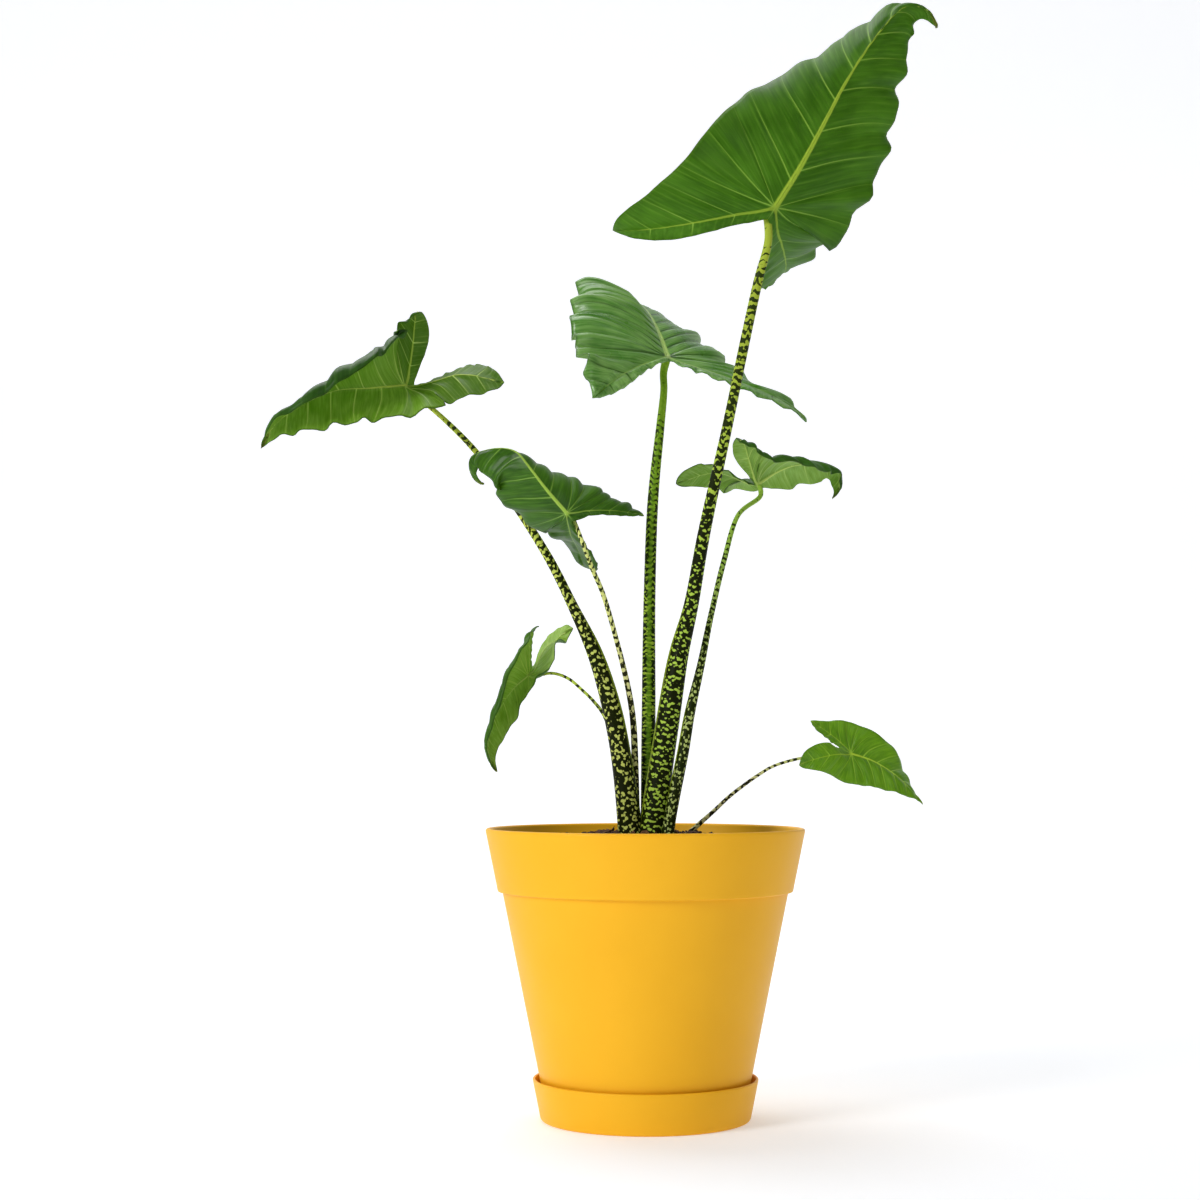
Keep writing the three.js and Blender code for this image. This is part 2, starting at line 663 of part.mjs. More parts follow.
function stalkOf(stalk, leaf, steps, sides, grow) {
  const rib = ribOf(leaf);
  const across = cross(rib.along[0], rib.facings[0]);
  const [dropLeft, dropRight] = [leaf.left.drop[1], leaf.right.drop[1]];
  const lean = radians((dropRight - dropLeft) / 2);
  const up = add(scale(rib.facings[0], Math.cos(lean)), scale(across, Math.sin(lean)));
  const opening = Math.cos(radians((dropRight + dropLeft) / 2));
  const down = stalk.down ?? scale(up, -1 / opening);
  const clear = stalk.down ? inLineGap : bladeThickness / 2 + fitGap;
  const below = (distance) => add(rib.place[0], scale(down, clear + distance));
  const r = stalk.topRadius;
  const approach = [...add(below(r * stalk.standOff), scale(stalk.arrive, -r * stalk.lead)), r, 0];
  const path = [...stalk.path, approach, [...below(r), r * topTaper, 0]];
  const curve = smoothCurve(path);
  const centres = Array.from({ length: steps + 1 }, (_, i) => curve.at(i / steps));
  const points = [];
  const faces = [];
  centres.forEach((c, i) => {
    const before = centres[Math.max(i - 1, 0)].slice(0, 3);
    const after = centres[Math.min(i + 1, steps)].slice(0, 3);
    let along = unit(sub(after, before));
    if (i === 0) along = [0, 0, 1];
    const u = unit(sub(stalk.sheathSide, scale(along, dot(stalk.sheathSide, along))));
    const v = cross(along, u);
    for (let k = 0; k < sides; k += 1) {
      const a = (2 * Math.PI * k) / sides;
      const edge = c[4] * Math.max(Math.cos(a), 0) ** 8;
      const reach = c[3] + edge + grow;
      const spoke = add(scale(u, Math.cos(a) * reach), scale(v, Math.sin(a) * reach));
      points.push(add(c.slice(0, 3), spoke));
    }
  });
  for (let i = 0; i < steps; i += 1) {
    for (let k = 0; k < sides; k += 1) {
      const a = i * sides + k;
      const b = i * sides + ((k + 1) % sides);
      faces.push([a, b, b + sides], [a, b + sides, a + sides]);
    }
  }
  const foot = points.length;
  const top = foot + 1;
  points.push(sub(centres[0].slice(0, 3), [0, 0, grow]), below(0));
  for (let k = 0; k < sides; k += 1) {
    const next = (k + 1) % sides;
    faces.push([foot, next, k], [top, steps * sides + k, steps * sides + next]);
  }
  return geometryOf(points, faces);
}

// A turned body from a profile of [radius, height] that starts and ends on the axis, upward outside.
function turnedBody(profile, sides) {
  const points = profile.map(([radius, z]) => new THREE.Vector2(radius, z));
  const geometry = new THREE.LatheGeometry(points, sides);
  geometry.rotateX(Math.PI / 2);
  return geometry;
}

function toSolid(geometry) {
  const indices = geometry.getIndex();
  const position = geometry.getAttribute('position');
  const mesh = new Mesh({
    numProp: 3,
    vertProperties: new Float32Array(position.array),
    triVerts: new Uint32Array(indices.array),
  });
  mesh.merge();
  return new Manifold(mesh);
}

function fromSolid(solid) {
  const mesh = solid.getMesh();
  const geometry = new THREE.BufferGeometry();
  geometry.setAttribute('position', new THREE.BufferAttribute(mesh.vertProperties, 3));
  geometry.setIndex(new THREE.BufferAttribute(mesh.triVerts, 1));
  return geometry;
}

// Corner of a profile rounded by a quarter turn from one direction to the next.
function roundedCorner(centre, radius, fromDegrees, toDegrees, steps) {
  return Array.from({ length: steps + 1 }, (_, i) => {
    const a = radians(fromDegrees + ((toDegrees - fromDegrees) * i) / steps);
    return [centre[0] + radius * Math.cos(a), centre[1] + radius * Math.sin(a)];
  });
}

const potTop = potFloorBottom + potHeight;
const bandBottom = potTop - potBandHeight;
const potFloorTop = potFloorBottom + potFloorThickness;
const bandStep = 3;

function potSolid() {
  const lip = roundedCorner([potRimRadius - potLipRadius, potTop - potLipRadius], potLipRadius, 0, 180, 4);
  const innerBand = [potBandBottomRadius - potWall, bandBottom + bandStep];
  const profile = [
    [0, potFloorBottom], [potBaseRadius - 1, potFloorBottom], [potBaseRadius, potFloorBottom + 1],
    [potBodyTopRadius, bandBottom], [potBandBottomRadius, bandBottom], ...lip,
    innerBand, [potBodyTopRadius - potWall, bandBottom - bandStep],
    [potBaseRadius - potWall + 1, potFloorTop], [0, potFloorTop],
  ];
  const drills = Array.from({ length: drainHoleCount }, (_, i) => {
    const a = (2 * Math.PI * i) / drainHoleCount;
    const drill = Manifold.cylinder(potFloorTop + 2, drainHoleRadius, drainHoleRadius, drainHoleSides);
    return drill.translate([drainRingRadius * Math.cos(a), drainRingRadius * Math.sin(a), 0]);
  });
  return toSolid(turnedBody(profile, potSides)).subtract(Manifold.union(drills));
}

function saucerGeometry() {
  const lipHalf = saucerWall / 2;
  const lip = roundedCorner([saucerRimRadius - lipHalf, saucerHeight - lipHalf], lipHalf, 0, 180, 4);
  const corner = [
    [saucerFootRadius, 0], [saucerFootRadius + saucerCornerRadius * 0.7, saucerCornerRadius * 0.3],
    [saucerFootRadius + saucerCornerRadius, saucerCornerRadius],
  ];
  const innerFoot = saucerFootRadius + saucerCornerRadius - saucerWall;
  const profile = [
    [0, 0], ...corner, ...lip, [innerFoot, saucerFloorTop + 1.5], [innerFoot - 1.5, saucerFloorTop],
    [0, saucerFloorTop]];
  return turnedBody(profile, potSides);
}

const cormProfile = [
  [0, cormBottom], [cormRadius * 0.6, cormBottom + 3], [cormRadius, cormBottom + 14],
  [cormRadius * 1.05, cormTop - 6], [cormRadius, cormTop], [0, cormTop],
];

function soilSolid(stalkSolids) {
  const soilEdge = potTop - soilDepthBelowRim;
  const wallAt = (z) => {
    const bottom = potBaseRadius - potWall + 1;
    const top = potBodyTopRadius - potWall;
    return bottom + ((top - bottom) * (z - potFloorTop)) / (bandBottom - bandStep - potFloorTop);
  };
  const bandAt = (z) => {
    const from = bandBottom + bandStep;
    const narrow = potBandBottomRadius - potWall;
    const wide = potRimRadius - 2 * potLipRadius;
    return narrow + ((wide - narrow) * (z - from)) / (potTop - potLipRadius - from);
  };
  const slack = fitGap * 1.5;
  const low = potFloorTop + fitGap;
  const profile = [
    [0, low], [wallAt(low) - slack, low], [potBodyTopRadius - potWall - slack, bandBottom - bandStep],
    [bandAt(bandBottom + bandStep) - slack, bandBottom + bandStep + slack],
    [bandAt(soilEdge) - slack, soilEdge],
    ...soilMound.map(([radius, share]) => [radius, soilEdge + soilMoundHeight * share]),
  ];
  const cavity = toSolid(turnedBody(grown(cormProfile, fitGap), cormSides));
  return toSolid(turnedBody(profile, soilSides)).subtract(Manifold.union([cavity, ...stalkSolids]));
}

function grown(profile, by) {
  const middle = (cormTop + cormBottom) / 2;
  return profile.map(([radius, z]) => [radius > 0 ? radius + by : 0, z + (z > middle ? by : -by)]);
}

// Rows and columns of each blade's mesh: a large leaf has more, so that its waves stay round.
const largeRows = { lobe: 8, fan: 4, blade: 15, across: 5, fringe: 2 };
const smallRows = { lobe: 5, fan: 3, blade: 10, across: 4, fringe: 2 };
const bladeRows = {
  top: largeRows, middle: largeRows, left: smallRows, midLeft: smallRows,
  right: smallRows, lowLeft: smallRows, lowRight: smallRows,
};
const stalkSteps = { top: 20, middle: 16, left: 20, midLeft: 16, right: 16, lowLeft: 18, lowRight: 16 };
const stalkSides = { top: 10, middle: 10, left: 10, midLeft: 8, right: 8, lowLeft: 6, lowRight: 6 };

// One material for each finish.
const finish = (name, color, roughness) => {
  const material = new THREE.MeshStandardMaterial({ color, roughness, metalness: 0 });
  material.name = name;
  return material;
};

const nodeName = (prefix, key) => `${prefix}_${key.replace(/([A-Z])/g, (c) => `_${c.toLowerCase()}`)}`;

const plant = new THREE.Group();
plant.name = 'potted_zebrina_alocasia';

function place(name, geometry, material) {
  const mesh = new THREE.Mesh(geometry, material);
  mesh.name = name;
  plant.add(mesh);
}

place('saucer', saucerGeometry(), finish('yellow_plastic_saucer', 0xf3b427, 0.45));
place('pot', fromSolid(potSolid()), finish('yellow_plastic_pot', 0xf3b427, 0.45));
place('corm', turnedBody(cormProfile, cormSides), finish('corm_skin', 0x6b4a2c, 0.9));
const holes = [];
for (const [key, stalk] of Object.entries(stalks)) {
  const blade = leaves[key];
  const [steps, sides] = [stalkSteps[key], stalkSides[key]];
  holes.push(toSolid(stalkOf(stalk, blade, steps, sides, fitGap)));
  const colour = key === 'middle' ? 0x3f6a1f : 0x3a4a1c;
  const look = finish(`mottled_stalk_${key}`, colour, 0.5);
  place(nodeName('stalk', key), stalkOf(stalk, blade, steps, sides, 0), look);
  place(nodeName('blade', key), bladeOf(blade, bladeRows[key]), finish(`leaf_${key}`, 0x2f6b1e, 0.4));
}
place('soil', fromSolid(soilSolid(holes)), finish('potting_soil', 0x3a2a1e, 0.95));

export default plant;
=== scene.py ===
"""Potted zebrina alocasia: fine leaves, mottled stalks, pot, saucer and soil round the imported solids.

Sizes are in millimetres until a mesh is made. Z is up, the middle of the saucer's underside is the
origin and -Y faces the viewer. Left and right of a leaf are seen on its upper face, tip up.
"""

import math

import bpy
import numpy as np
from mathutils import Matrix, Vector


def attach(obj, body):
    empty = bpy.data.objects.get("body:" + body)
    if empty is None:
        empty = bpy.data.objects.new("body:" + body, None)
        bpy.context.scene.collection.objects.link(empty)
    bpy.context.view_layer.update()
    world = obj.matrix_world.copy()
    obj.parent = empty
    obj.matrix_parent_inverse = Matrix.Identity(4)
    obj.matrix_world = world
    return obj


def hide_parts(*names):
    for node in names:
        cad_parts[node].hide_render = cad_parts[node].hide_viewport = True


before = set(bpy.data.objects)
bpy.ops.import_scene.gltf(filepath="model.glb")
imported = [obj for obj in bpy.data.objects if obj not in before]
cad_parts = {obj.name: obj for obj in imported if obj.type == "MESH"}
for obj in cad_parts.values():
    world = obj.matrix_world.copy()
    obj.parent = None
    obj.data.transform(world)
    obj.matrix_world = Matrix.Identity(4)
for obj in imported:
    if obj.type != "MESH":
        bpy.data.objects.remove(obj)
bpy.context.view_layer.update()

MM = 0.001
# Doubled points this near, in metres, are merged
WELD = 0.00001
FIT_GAP = 0.3

# Pot and saucer: the same sizes as their solids
POT_BOTTOM, POT_TOP = 4, 225
POT_BASE_RADIUS, POT_BODY_RADIUS = 77, 111.5
POT_BAND_RADIUS, POT_RIM_RADIUS = 115.5, 125
POT_BAND_BOTTOM, POT_STEP = 176, 3
POT_WALL, POT_FLOOR = 3, 3.5
POT_LIP = 1.9
FOOT_ROUND, STEP_ROUND, FOLD_ROUND, FLOOR_ROUND = 1.5, 1.2, 1, 3
DRAIN_HOLES, DRAIN_RADIUS, DRAIN_RING = 5, 5, 46
DRAIN_SIDES, DRILL_LENGTH = 24, 20
SAUCER_TOP, SAUCER_FLOOR = 32, 3.7
SAUCER_FOOT, SAUCER_CORNER = 79, 3
SAUCER_RIM, SAUCER_WALL = 87.7, 2.2
TURNED_SIDES = 160

# Soil and corm. Each pair of CRUMBS is the width of the lumps and the height they swing through.
SOIL_EDGE = POT_TOP - 11
SOIL_MOUND = 7.5
MOUND_RADII, MOUND_SHARES = [0, 45, 75, 100, 118], [1, 0.8, 0.35, 0.1, 0]
SOIL_GAP, SOIL_EDGE_GAP = 0.5, 0.6
SOIL_BASE_RADIUS = POT_BASE_RADIUS - POT_WALL + 0.2
SOIL_RINGS, SOIL_SIDES = 60, 220
CRUMBS, CRUMB_MARGIN = ((9, 1.9), (3.2, 1.3)), 0.2
# Loose lumps: breadth and height are the least and the spread above it, against the length
LUMP_ROUGHNESS, LUMP_BREADTH, LUMP_HEIGHT, LUMP_TURN = 0.22, (0.55, 0.4), (0.7, 0.6), 6.3
LUMP_LIFT, WALL_CLEARANCE = 0.35, 5
CORM_TOP = 186
STALK_FOOT = CORM_TOP + FIT_GAP

# Flat shape of half a blade, in blade lengths: (out from the midrib, towards the tip).
# The stalk joins at (0, 0), the tip is (0, 1) and the end of the lobe behind it (0.52, -0.45).
OUTER_MARGIN = [
    (0.52, -0.45), (0.53, -0.37), (0.5, -0.22), (0.455, -0.05), (0.43, 0.1), (0.405, 0.27),
    (0.35, 0.45), (0.265, 0.62), (0.165, 0.78), (0.075, 0.9), (0.022, 0.965), (0, 1),
]
LOBE_RIB = [(0, 0), (0.13, -0.105), (0.26, -0.215), (0.39, -0.33), (0.52, -0.45)]
INNER_MARGIN = [
    (0, -0.03), (0.03, -0.05), (0.09, -0.12), (0.18, -0.235),
    (0.25, -0.315), (0.34, -0.385), (0.43, -0.43), (0.52, -0.45),
]
LOBE_END = 0.45
FAN_START = -0.06
BLADE_THICKNESS = 0.8
# Near the midrib a point belongs to both halves, so their differences fade in over this distance
MIDRIB_EASE = 0.12

# The seven blades, with the values of their solids, but for a broader web between the lobes of top and
# mid_left and calmer waves on top's left half. A blade has its midrib from the junction to the tip, the
# direction that its upper face looks in, the twist towards the tip, the web between its lobes in blade
# lengths and its two halves. The numbers of a half are, in the order of HALF_TRAITS: its breadth, its
# lobe's length and spread and the breadth of the lobe's inner strip against the flat shape; how far the
# lobe bends down at the junction and along its length; where its hem starts; the height, number and
# start of its waves; and its drop, curl and hem, each at the lobe's end, the junction, half way and the
# tip. Angles are in degrees.
LEAF_TRAITS = ("midrib", "facing", "twist", "web", "left", "right")
HALF_TRAITS = (
    "width", "lobe", "splay", "fringe", "knee", "swing", "hem_from", "wave", "waves", "start",
    "drop", "curl", "hem",
)
LEAVES = {
    # Tallest leaf: upper face to the viewer, tip arching over.
    "top": [
        [
            [100, -60, 704], [119, -65, 734], [137, -67, 767], [157, -63, 805], [183, -53, 845],
            [204, -46, 867], [220, -42, 867], [229, -43, 852],
        ],
        [0.03, -0.98, -0.19], -17, 0.045,
        [0.76, 0.83, 0.81, 0.7, 12, 38, 0.58, 0.006, 8, 0.1,
         [-4, -9, 25, 39], [30, 12, 27, 44], [6, -8, 14, 17]],
        [0.77, 1.2, 0.75, 1.4, 46, 5, 0.58, 0.016, 9, 0.3,
         [46, 36, 37, 43], [25, 17, 4, 27], [14, -4, 1, 10]],
    ],
    # Second leaf: arched back, both lobes hanging forward.
    "middle": [
        [
            [19, 20, 602], [12, 41, 627], [2, 68, 651], [-12, 96, 665], [-27, 128, 666], [-37, 148, 649],
        ],
        [0.33, -0.68, 0.66], 25, 0.03,
        [1.08, 0.82, 0.91, 0.7, -4, 74, 0.55, 0.03, 7, 0.2,
         [-6, -3, -9, -10], [8, 5, 50, 31], [-15, 0, 21, 20]],
        [0.81, 0.82, 1.23, 1.2, -18, 21, 0.68, 0.022, 7, 0.5,
         [-3, -9, 6, 18], [8, 21, 20, -4], [22, 16, 15, 10]],
    ],
    # Left leaf: underside to the viewer, its upper hem rolled over.
    "left": [
        [
            [-190, -10, 572], [-215, -31, 567], [-242, -51, 562], [-266, -66, 547], [-283, -75, 532],
            [-292, -76, 515],
        ],
        [-0.43, 0.66, -0.62], -33, 0.06,
        [0.84, 0.86, 0.78, 1.3, 37, 70, 0.56, 0.014, 8, 0.1,
         [11, 14, 65, 38], [84, 68, 72, 70], [49, 63, 63, 93]],
        [0.89, 1.24, 1.05, 1.3, 31, 59, 0.48, 0.014, 9, 0.4,
         [37, 36, 13, 37], [1, 4, 25, 45], [-35, -26, 25, 13]],
    ],
    # Middle left leaf: hangs down, tip curled under.
    "mid_left": [
        [
            [-61, -65, 466], [-77, -66, 485], [-89, -64, 501], [-101, -57, 515], [-121, -44, 518],
            [-136, -38, 512], [-135, -37, 499], [-126, -38, 492],
        ],
        [-0.12, -0.98, -0.16], 30, 0.06,
        [0.79, 1.25, 0.79, 1.8, 34, 0, 0.51, 0.014, 6, 0.2,
         [44, 41, 15, 15], [47, 30, 18, 9], [-34, -7, 39, 20]],
        [0.9, 0.68, 0.83, 0.5, 3, -3, 0.68, 0.012, 6, 0.6,
         [26, 31, 70, 38], [21, 54, 18, 7], [-6, 25, 11, -22]],
    ],
    # Right leaf: seen from below, nearly flat.
    "right": [
        [
            [94, 60, 504], [110, 74, 516], [125, 84, 523], [149, 98, 526], [165, 104, 520],
            [166, 105, 507], [160, 104, 498],
        ],
        [-0.59, -0.04, 0.81], 11, 0.03,
        [0.88, 1.05, 0.81, 1.7, -62, -17, 0.56, 0.018, 6, 0.1,
         [-34, -40, 2, 3], [90, 46, 58, 18], [45, 11, -1, 3]],
        [0.75, 0.79, 0.76, 1.5, -42, -8, 0.67, 0.014, 7, 0.5,
         [-53, -42, 11, 13], [49, 47, 52, 53], [67, 104, 51, 47]],
    ],
    # Lowest left leaf: narrow, hanging, seen from below.
    "low_left": [
        [
            [-93, 20, 345], [-104, 11, 335], [-114, 3, 320], [-123, -2, 298], [-123, -6, 282],
            [-116, -6, 269],
        ],
        [-0.75, 0.6, 0.29], 8, 0.13,
        [0.84, 0.74, 0.6, 1.4, -34, 10, 0.69, 0.01, 6, 0.3,
         [-3, -1, 21, 12], [60, 7, 44, 63], [49, 72, 48, 87]],
        [0.59, 1.72, 0.56, 1.9, -56, 56, 0.63, 0.012, 6, 0.7,
         [82, 94, 67, 52], [55, 74, 68, 62], [-36, 2, 0, -27]],
    ],
    # Lowest right leaf, reaching over the rim.
    "low_right": [
        [
            [169, 60, 283], [187, 64, 277], [205, 66, 266], [218, 69, 254], [228, 71, 242],
        ],
        [0.36, -0.63, 0.69], -24, 0.15,
        [1.01, 1.02, 0.73, 1, 2, 6, 0.56, 0.012, 5, 0.2,
         [4, 3, -6, 14], [-9, -16, -24, 13], [11, -25, 8, 18]],
        [0.83, 1.33, 0.93, 1.8, -43, 62, 0.69, 0.012, 5, 0.6,
         [9, 5, 16, 20], [55, 44, 34, 26], [-22, -12, -4, -35]],
    ],
}

# How each blade looks, pairs being for its left and right half. laterals are the side veins' places
# along the midrib, lead is how far their ends are carried towards the tip and bow how much they arch.
# puff is how far the leaf swells between them in mm, up to pleat of their distance, and folds how many
# lesser swellings there are in one. rib is the midrib's half width at the stalk in mm and groove how
# wide the sunken side veins look. fine and across are the faces from one vein to the next and from the
# midrib to the margin.
COMMON_LOOKS = {"lead": (0.25, 0.25), "bow": (0.1, 0.1), "folds": 1, "groove": 1, "pleat": 0.2}
FIVE_VEINS = ([0.14, 0.31, 0.49, 0.67, 0.84], [0.18, 0.35, 0.52, 0.69, 0.86])
LEAF_LOOKS = {
    "top": {
        "laterals": ([0.1, 0.26, 0.41, 0.54, 0.66, 0.78, 0.9], [0.14, 0.29, 0.45, 0.58, 0.7, 0.81, 0.91]),
        "lead": (0.25, 0.27), "bow": (0.09, -0.05), "puff": (1.3, 1.3), "folds": 2,
        "rib": 2.5, "fine": 8, "across": 28,
    },
    "middle": {
        "laterals": (
            [0.05, 0.1, 0.16, 0.22, 0.29, 0.36, 0.44, 0.52, 0.61, 0.71, 0.81, 0.91],
            [0.06, 0.12, 0.19, 0.27, 0.35, 0.43, 0.51, 0.6, 0.69, 0.77, 0.85, 0.93],
        ),
        "lead": (0.27, 0.25), "bow": (-0.12, 0.08), "puff": (3.6, 1.1), "folds": 2,
        "rib": 2.2, "fine": 6, "across": 28, "groove": 1.7, "pleat": 0.32,
    },
    "left": {
        "laterals": ([0.12, 0.27, 0.43, 0.59, 0.74, 0.88], [0.16, 0.32, 0.48, 0.63, 0.77, 0.9]),
        "puff": (1.3, 1.3), "rib": 2.0, "fine": 7, "across": 20,
    },
    "mid_left": {
        "laterals": ([0.12, 0.27, 0.43, 0.59, 0.74, 0.88], [0.15, 0.31, 0.47, 0.62, 0.76, 0.9]),
        "puff": (1.6, 1.6), "rib": 1.3, "fine": 7, "across": 20,
    },
    "right": {"laterals": FIVE_VEINS, "puff": (1.3, 1.3), "rib": 1.7, "fine": 7, "across": 18},
    "low_left": {"laterals": FIVE_VEINS, "puff": (0.9, 0.9), "rib": 1.2, "fine": 6, "across": 16},
    "low_right": {"laterals": FIVE_VEINS, "puff": (1.0, 1.0), "rib": 1.1, "fine": 6, "across": 16},
}

# The seven stalks, with the values of their solids: the foot on the corm as (x, y, radius), the path
# above it as [x, y, z, radius, sheath], the radius at the blade, how many such radii below the blade
# the last bend lies and how many back, the direction in which the stalk comes up, where the sheath's
# edge looks and, if it isn't square to the blade, the end's direction. Each ends in its blade's midrib.
FOOT_TOP = 200
STALK_TRAITS = ("foot", "path", "top_radius", "stand_off", "lead", "arrive", "sheath_side", "down")
STALKS = {
    "top": [
        (6, -9, 9.3),
        [[6, -9, 222, 9.3, 0.6], [19, -11, 314, 8.6, 1.2], [27, -11, 361, 7.2, 1.4],
         [36, -14, 398, 5.6, 0.6], [46, -20, 455, 5, 0], [64, -32, 538, 4.1, 0], [76, -44, 597, 3.9, 0],
         [87, -52, 648, 3.6, 0], [95, -54, 680, 3.1, 0]],
        3.1, 4.5, 0.5, [0.15, 0, 0.99], [-1, 0.3, 0],
    ],
    "middle": [
        (2, 7.5, 5.4),
        [[2, 7.5, 222, 5.4, 0], [3, 7, 314, 5.5, 0], [4, 8, 410, 4.7, 0], [7, 11, 487, 4.3, 0],
         [13, 15, 545, 3.4, 0], [16, 18, 575, 2.9, 0]],
        2.9, 3, 2, [0.1, 0.2, 0.98], [0, -1, 0],
    ],
    "left": [
        (-12, -7, 8.2),
        [[-12, -7, 222, 8.2, 0.4], [-20, -9, 286, 7.6, 0.8], [-28, -10, 323, 6.8, 1.6],
         [-40, -10, 361, 5.4, 1.8], [-57, -10, 399, 4, 0.3], [-76, -10, 437, 3.5, 0],
         [-110, -9, 490, 3, 0], [-135, -8, 523, 2.3, 0], [-158, -12, 546, 2, 0],
         [-176, -15, 561, 1.8, 0]],
        1.8, 3, 0, [-0.78, 0, 0.62], [1, 0.2, 0], [0.77, 0, -0.64],
    ],
    "mid_left": [
        (-7.5, 7, 3.2),
        [[-7.5, 7, 222, 3.2, 0], [-9, 1, 305, 2.5, 0], [-13, -4, 333, 2.3, 0], [-22, -13, 370, 2, 0],
         [-33, -26, 407, 1.9, 0], [-42, -44, 427, 1.8, 0], [-49, -57, 445, 1.6, 0]],
        1.6, 6, 1.5, [-0.42, -0.32, 0.85], [1, 0, 0],
    ],
    "right": [
        (17.5, -17, 4.4),
        [[17.5, -17, 222, 4.4, 0.4], [30, -15, 286, 4.2, 0.8], [35, -12, 314, 3.8, 0.8],
         [44, -3, 352, 3, 0.3], [52, 5, 390, 2.4, 0], [64, 18, 438, 2.2, 0], [76, 32, 475, 1.9, 0]],
        1.9, 3, 2, [0.51, 0.3, 0.81], [-1, 0.2, 0],
    ],
    "low_left": [
        (-15, 6.5, 2.3),
        [[-15, 6.5, 222, 2.3, 0], [-22, 5, 270, 1.9, 0], [-31, 9, 311, 1.5, 0], [-40, 12, 324, 1.3, 0],
         [-49, 14, 333, 1.2, 0], [-61, 17, 343, 1.2, 0], [-74, 16, 347, 1.2, 0]],
        1.1, 3, 0, [-1, 0, 0.1], [0, -1, 0], [0.88, 0.32, -0.34],
    ],
    "low_right": [
        (14, 7, 2.2),
        [[40, 12, 225, 1.9, 0], [55, 16, 238, 1.6, 0], [66, 21, 248, 1.5, 0], [78, 28, 257, 1.4, 0],
         [93, 36, 267, 1.3, 0], [104, 42, 273, 1.2, 0], [125, 50, 279, 1.2, 0], [147, 56, 282, 1.1, 0]],
        1.1, 3, 2, [0.98, 0.2, 0.1], [0, -1, 0],
    ],
}

# How each stalk is mottled: the marks' colour low and high on it and the colour between them, the width
# and height in mm that a mark has to itself low and high, the distance between the wavy rows that the
# marks lie in, how much the stalk swells at the soil, the share of pale skin at rising shares of its
# length above the soil and, on one stalk, the colour of a stripe under the sheath's edge.
MOTTLE_TRAITS = ("low", "high", "dark", "mark", "row", "swell", "cover", "stripe")
STALK_LOOKS = {
    "top": [
        "#A9C84A", "#A2B43A", "#161C00", ((3.8, 2.5), (6, 2.6)), (5.2, 6.2), 0.1,
        [(0, 0.16), (0.3, 0.14), (0.5, 0.24), (0.75, 0.3), (0.88, 0.5), (0.95, 1.7)],
    ],
    "middle": [
        "#9DB83A", "#82A82A", "#152402", ((5.4, 1.8), (3.4, 2.4)), (3.4, 4.6), 0,
        [(0, 0.18), (0.4, 0.22), (0.7, 0.34), (0.84, 0.6), (0.92, 1.6)], "#66901A",
    ],
    "left": [
        "#C6D068", "#B8C844", "#181E00", ((3, 3.2), (4.6, 2.5)), (5.6, 5.6), 0.16,
        [(0, 0.16), (0.4, 0.18), (0.6, 0.36), (0.75, 0.55), (0.88, 0.8), (1, 1.7)],
    ],
    "mid_left": [
        "#DEDC98", "#D8E080", "#28280C", ((3.4, 3.4), (3.4, 3.4)), (6, 6), 0.2,
        [(0, 0.3), (0.3, 0.3), (0.6, 0.42), (0.85, 0.6), (1, 0.95)],
    ],
    "right": [
        "#B4C470", "#8CB23E", "#1C2600", ((2.1, 3.4), (2.1, 2.6)), (4.4, 4.4), 0.1,
        [(0, 0.14), (0.35, 0.2), (0.7, 0.5), (0.85, 1.1), (1, 1.2)],
    ],
    "low_left": [
        "#A8B858", "#C0D84A", "#202A0A", ((3.2, 3.6), (3.2, 3.6)), (6, 6), 0,
        [(0, 0.35), (0.7, 0.4), (0.9, 0.7), (1, 1.1)],
    ],
    "low_right": [
        "#DEDC98", "#D6DC84", "#25240A", ((3.2, 3.8), (3.2, 3.8)), (6.5, 6.5), 0,
        [(0, 0.38), (0.5, 0.42), (0.8, 0.55), (1, 1)],
    ],
}

for table, traits in ((LEAVES, LEAF_TRAITS), (STALKS, STALK_TRAITS), (STALK_LOOKS, MOTTLE_TRAITS)):
    for key, values in table.items():
        table[key] = dict(zip(traits, [*values, None]))
for leaf in LEAVES.values():
    for side in ("left", "right"):
        leaf[side] = dict(zip(HALF_TRAITS, leaf[side]))


# Small tools

def only(piece):
    """Makes the piece the one selected and active object."""
    bpy.ops.object.select_all(action="DESELECT")
    piece.select_set(True)
    bpy.context.view_layer.objects.active = piece


def finish_modifiers(piece):
    only(piece)
    for modifier in list(piece.modifiers):
        bpy.ops.object.modifier_apply(modifier=modifier.name)


def in_edit(piece, *steps):
    """Runs edit-mode operators on all of the piece's mesh."""
    only(piece)
    bpy.ops.object.mode_set(mode="EDIT")
    bpy.ops.mesh.select_all(action="SELECT")
    for operator, settings in steps:
        operator(**settings)
    bpy.ops.object.mode_set(mode="OBJECT")


def smooth_below(piece, degrees):
    """Smooths every edge that bends less than this."""
    only(piece)
    bpy.ops.object.shade_smooth_by_angle(angle=math.radians(degrees))


def joined(pieces, name):
    only(pieces[0])
    for piece in pieces[1:]:
        piece.select_set(True)
    bpy.ops.object.join()
    pieces[0].name = name
    pieces[0].data.name = name
    return pieces[0]


def new_object(name, data):
    piece = bpy.data.objects.new(name, data)
    bpy.context.scene.collection.objects.link(piece)
    return piece


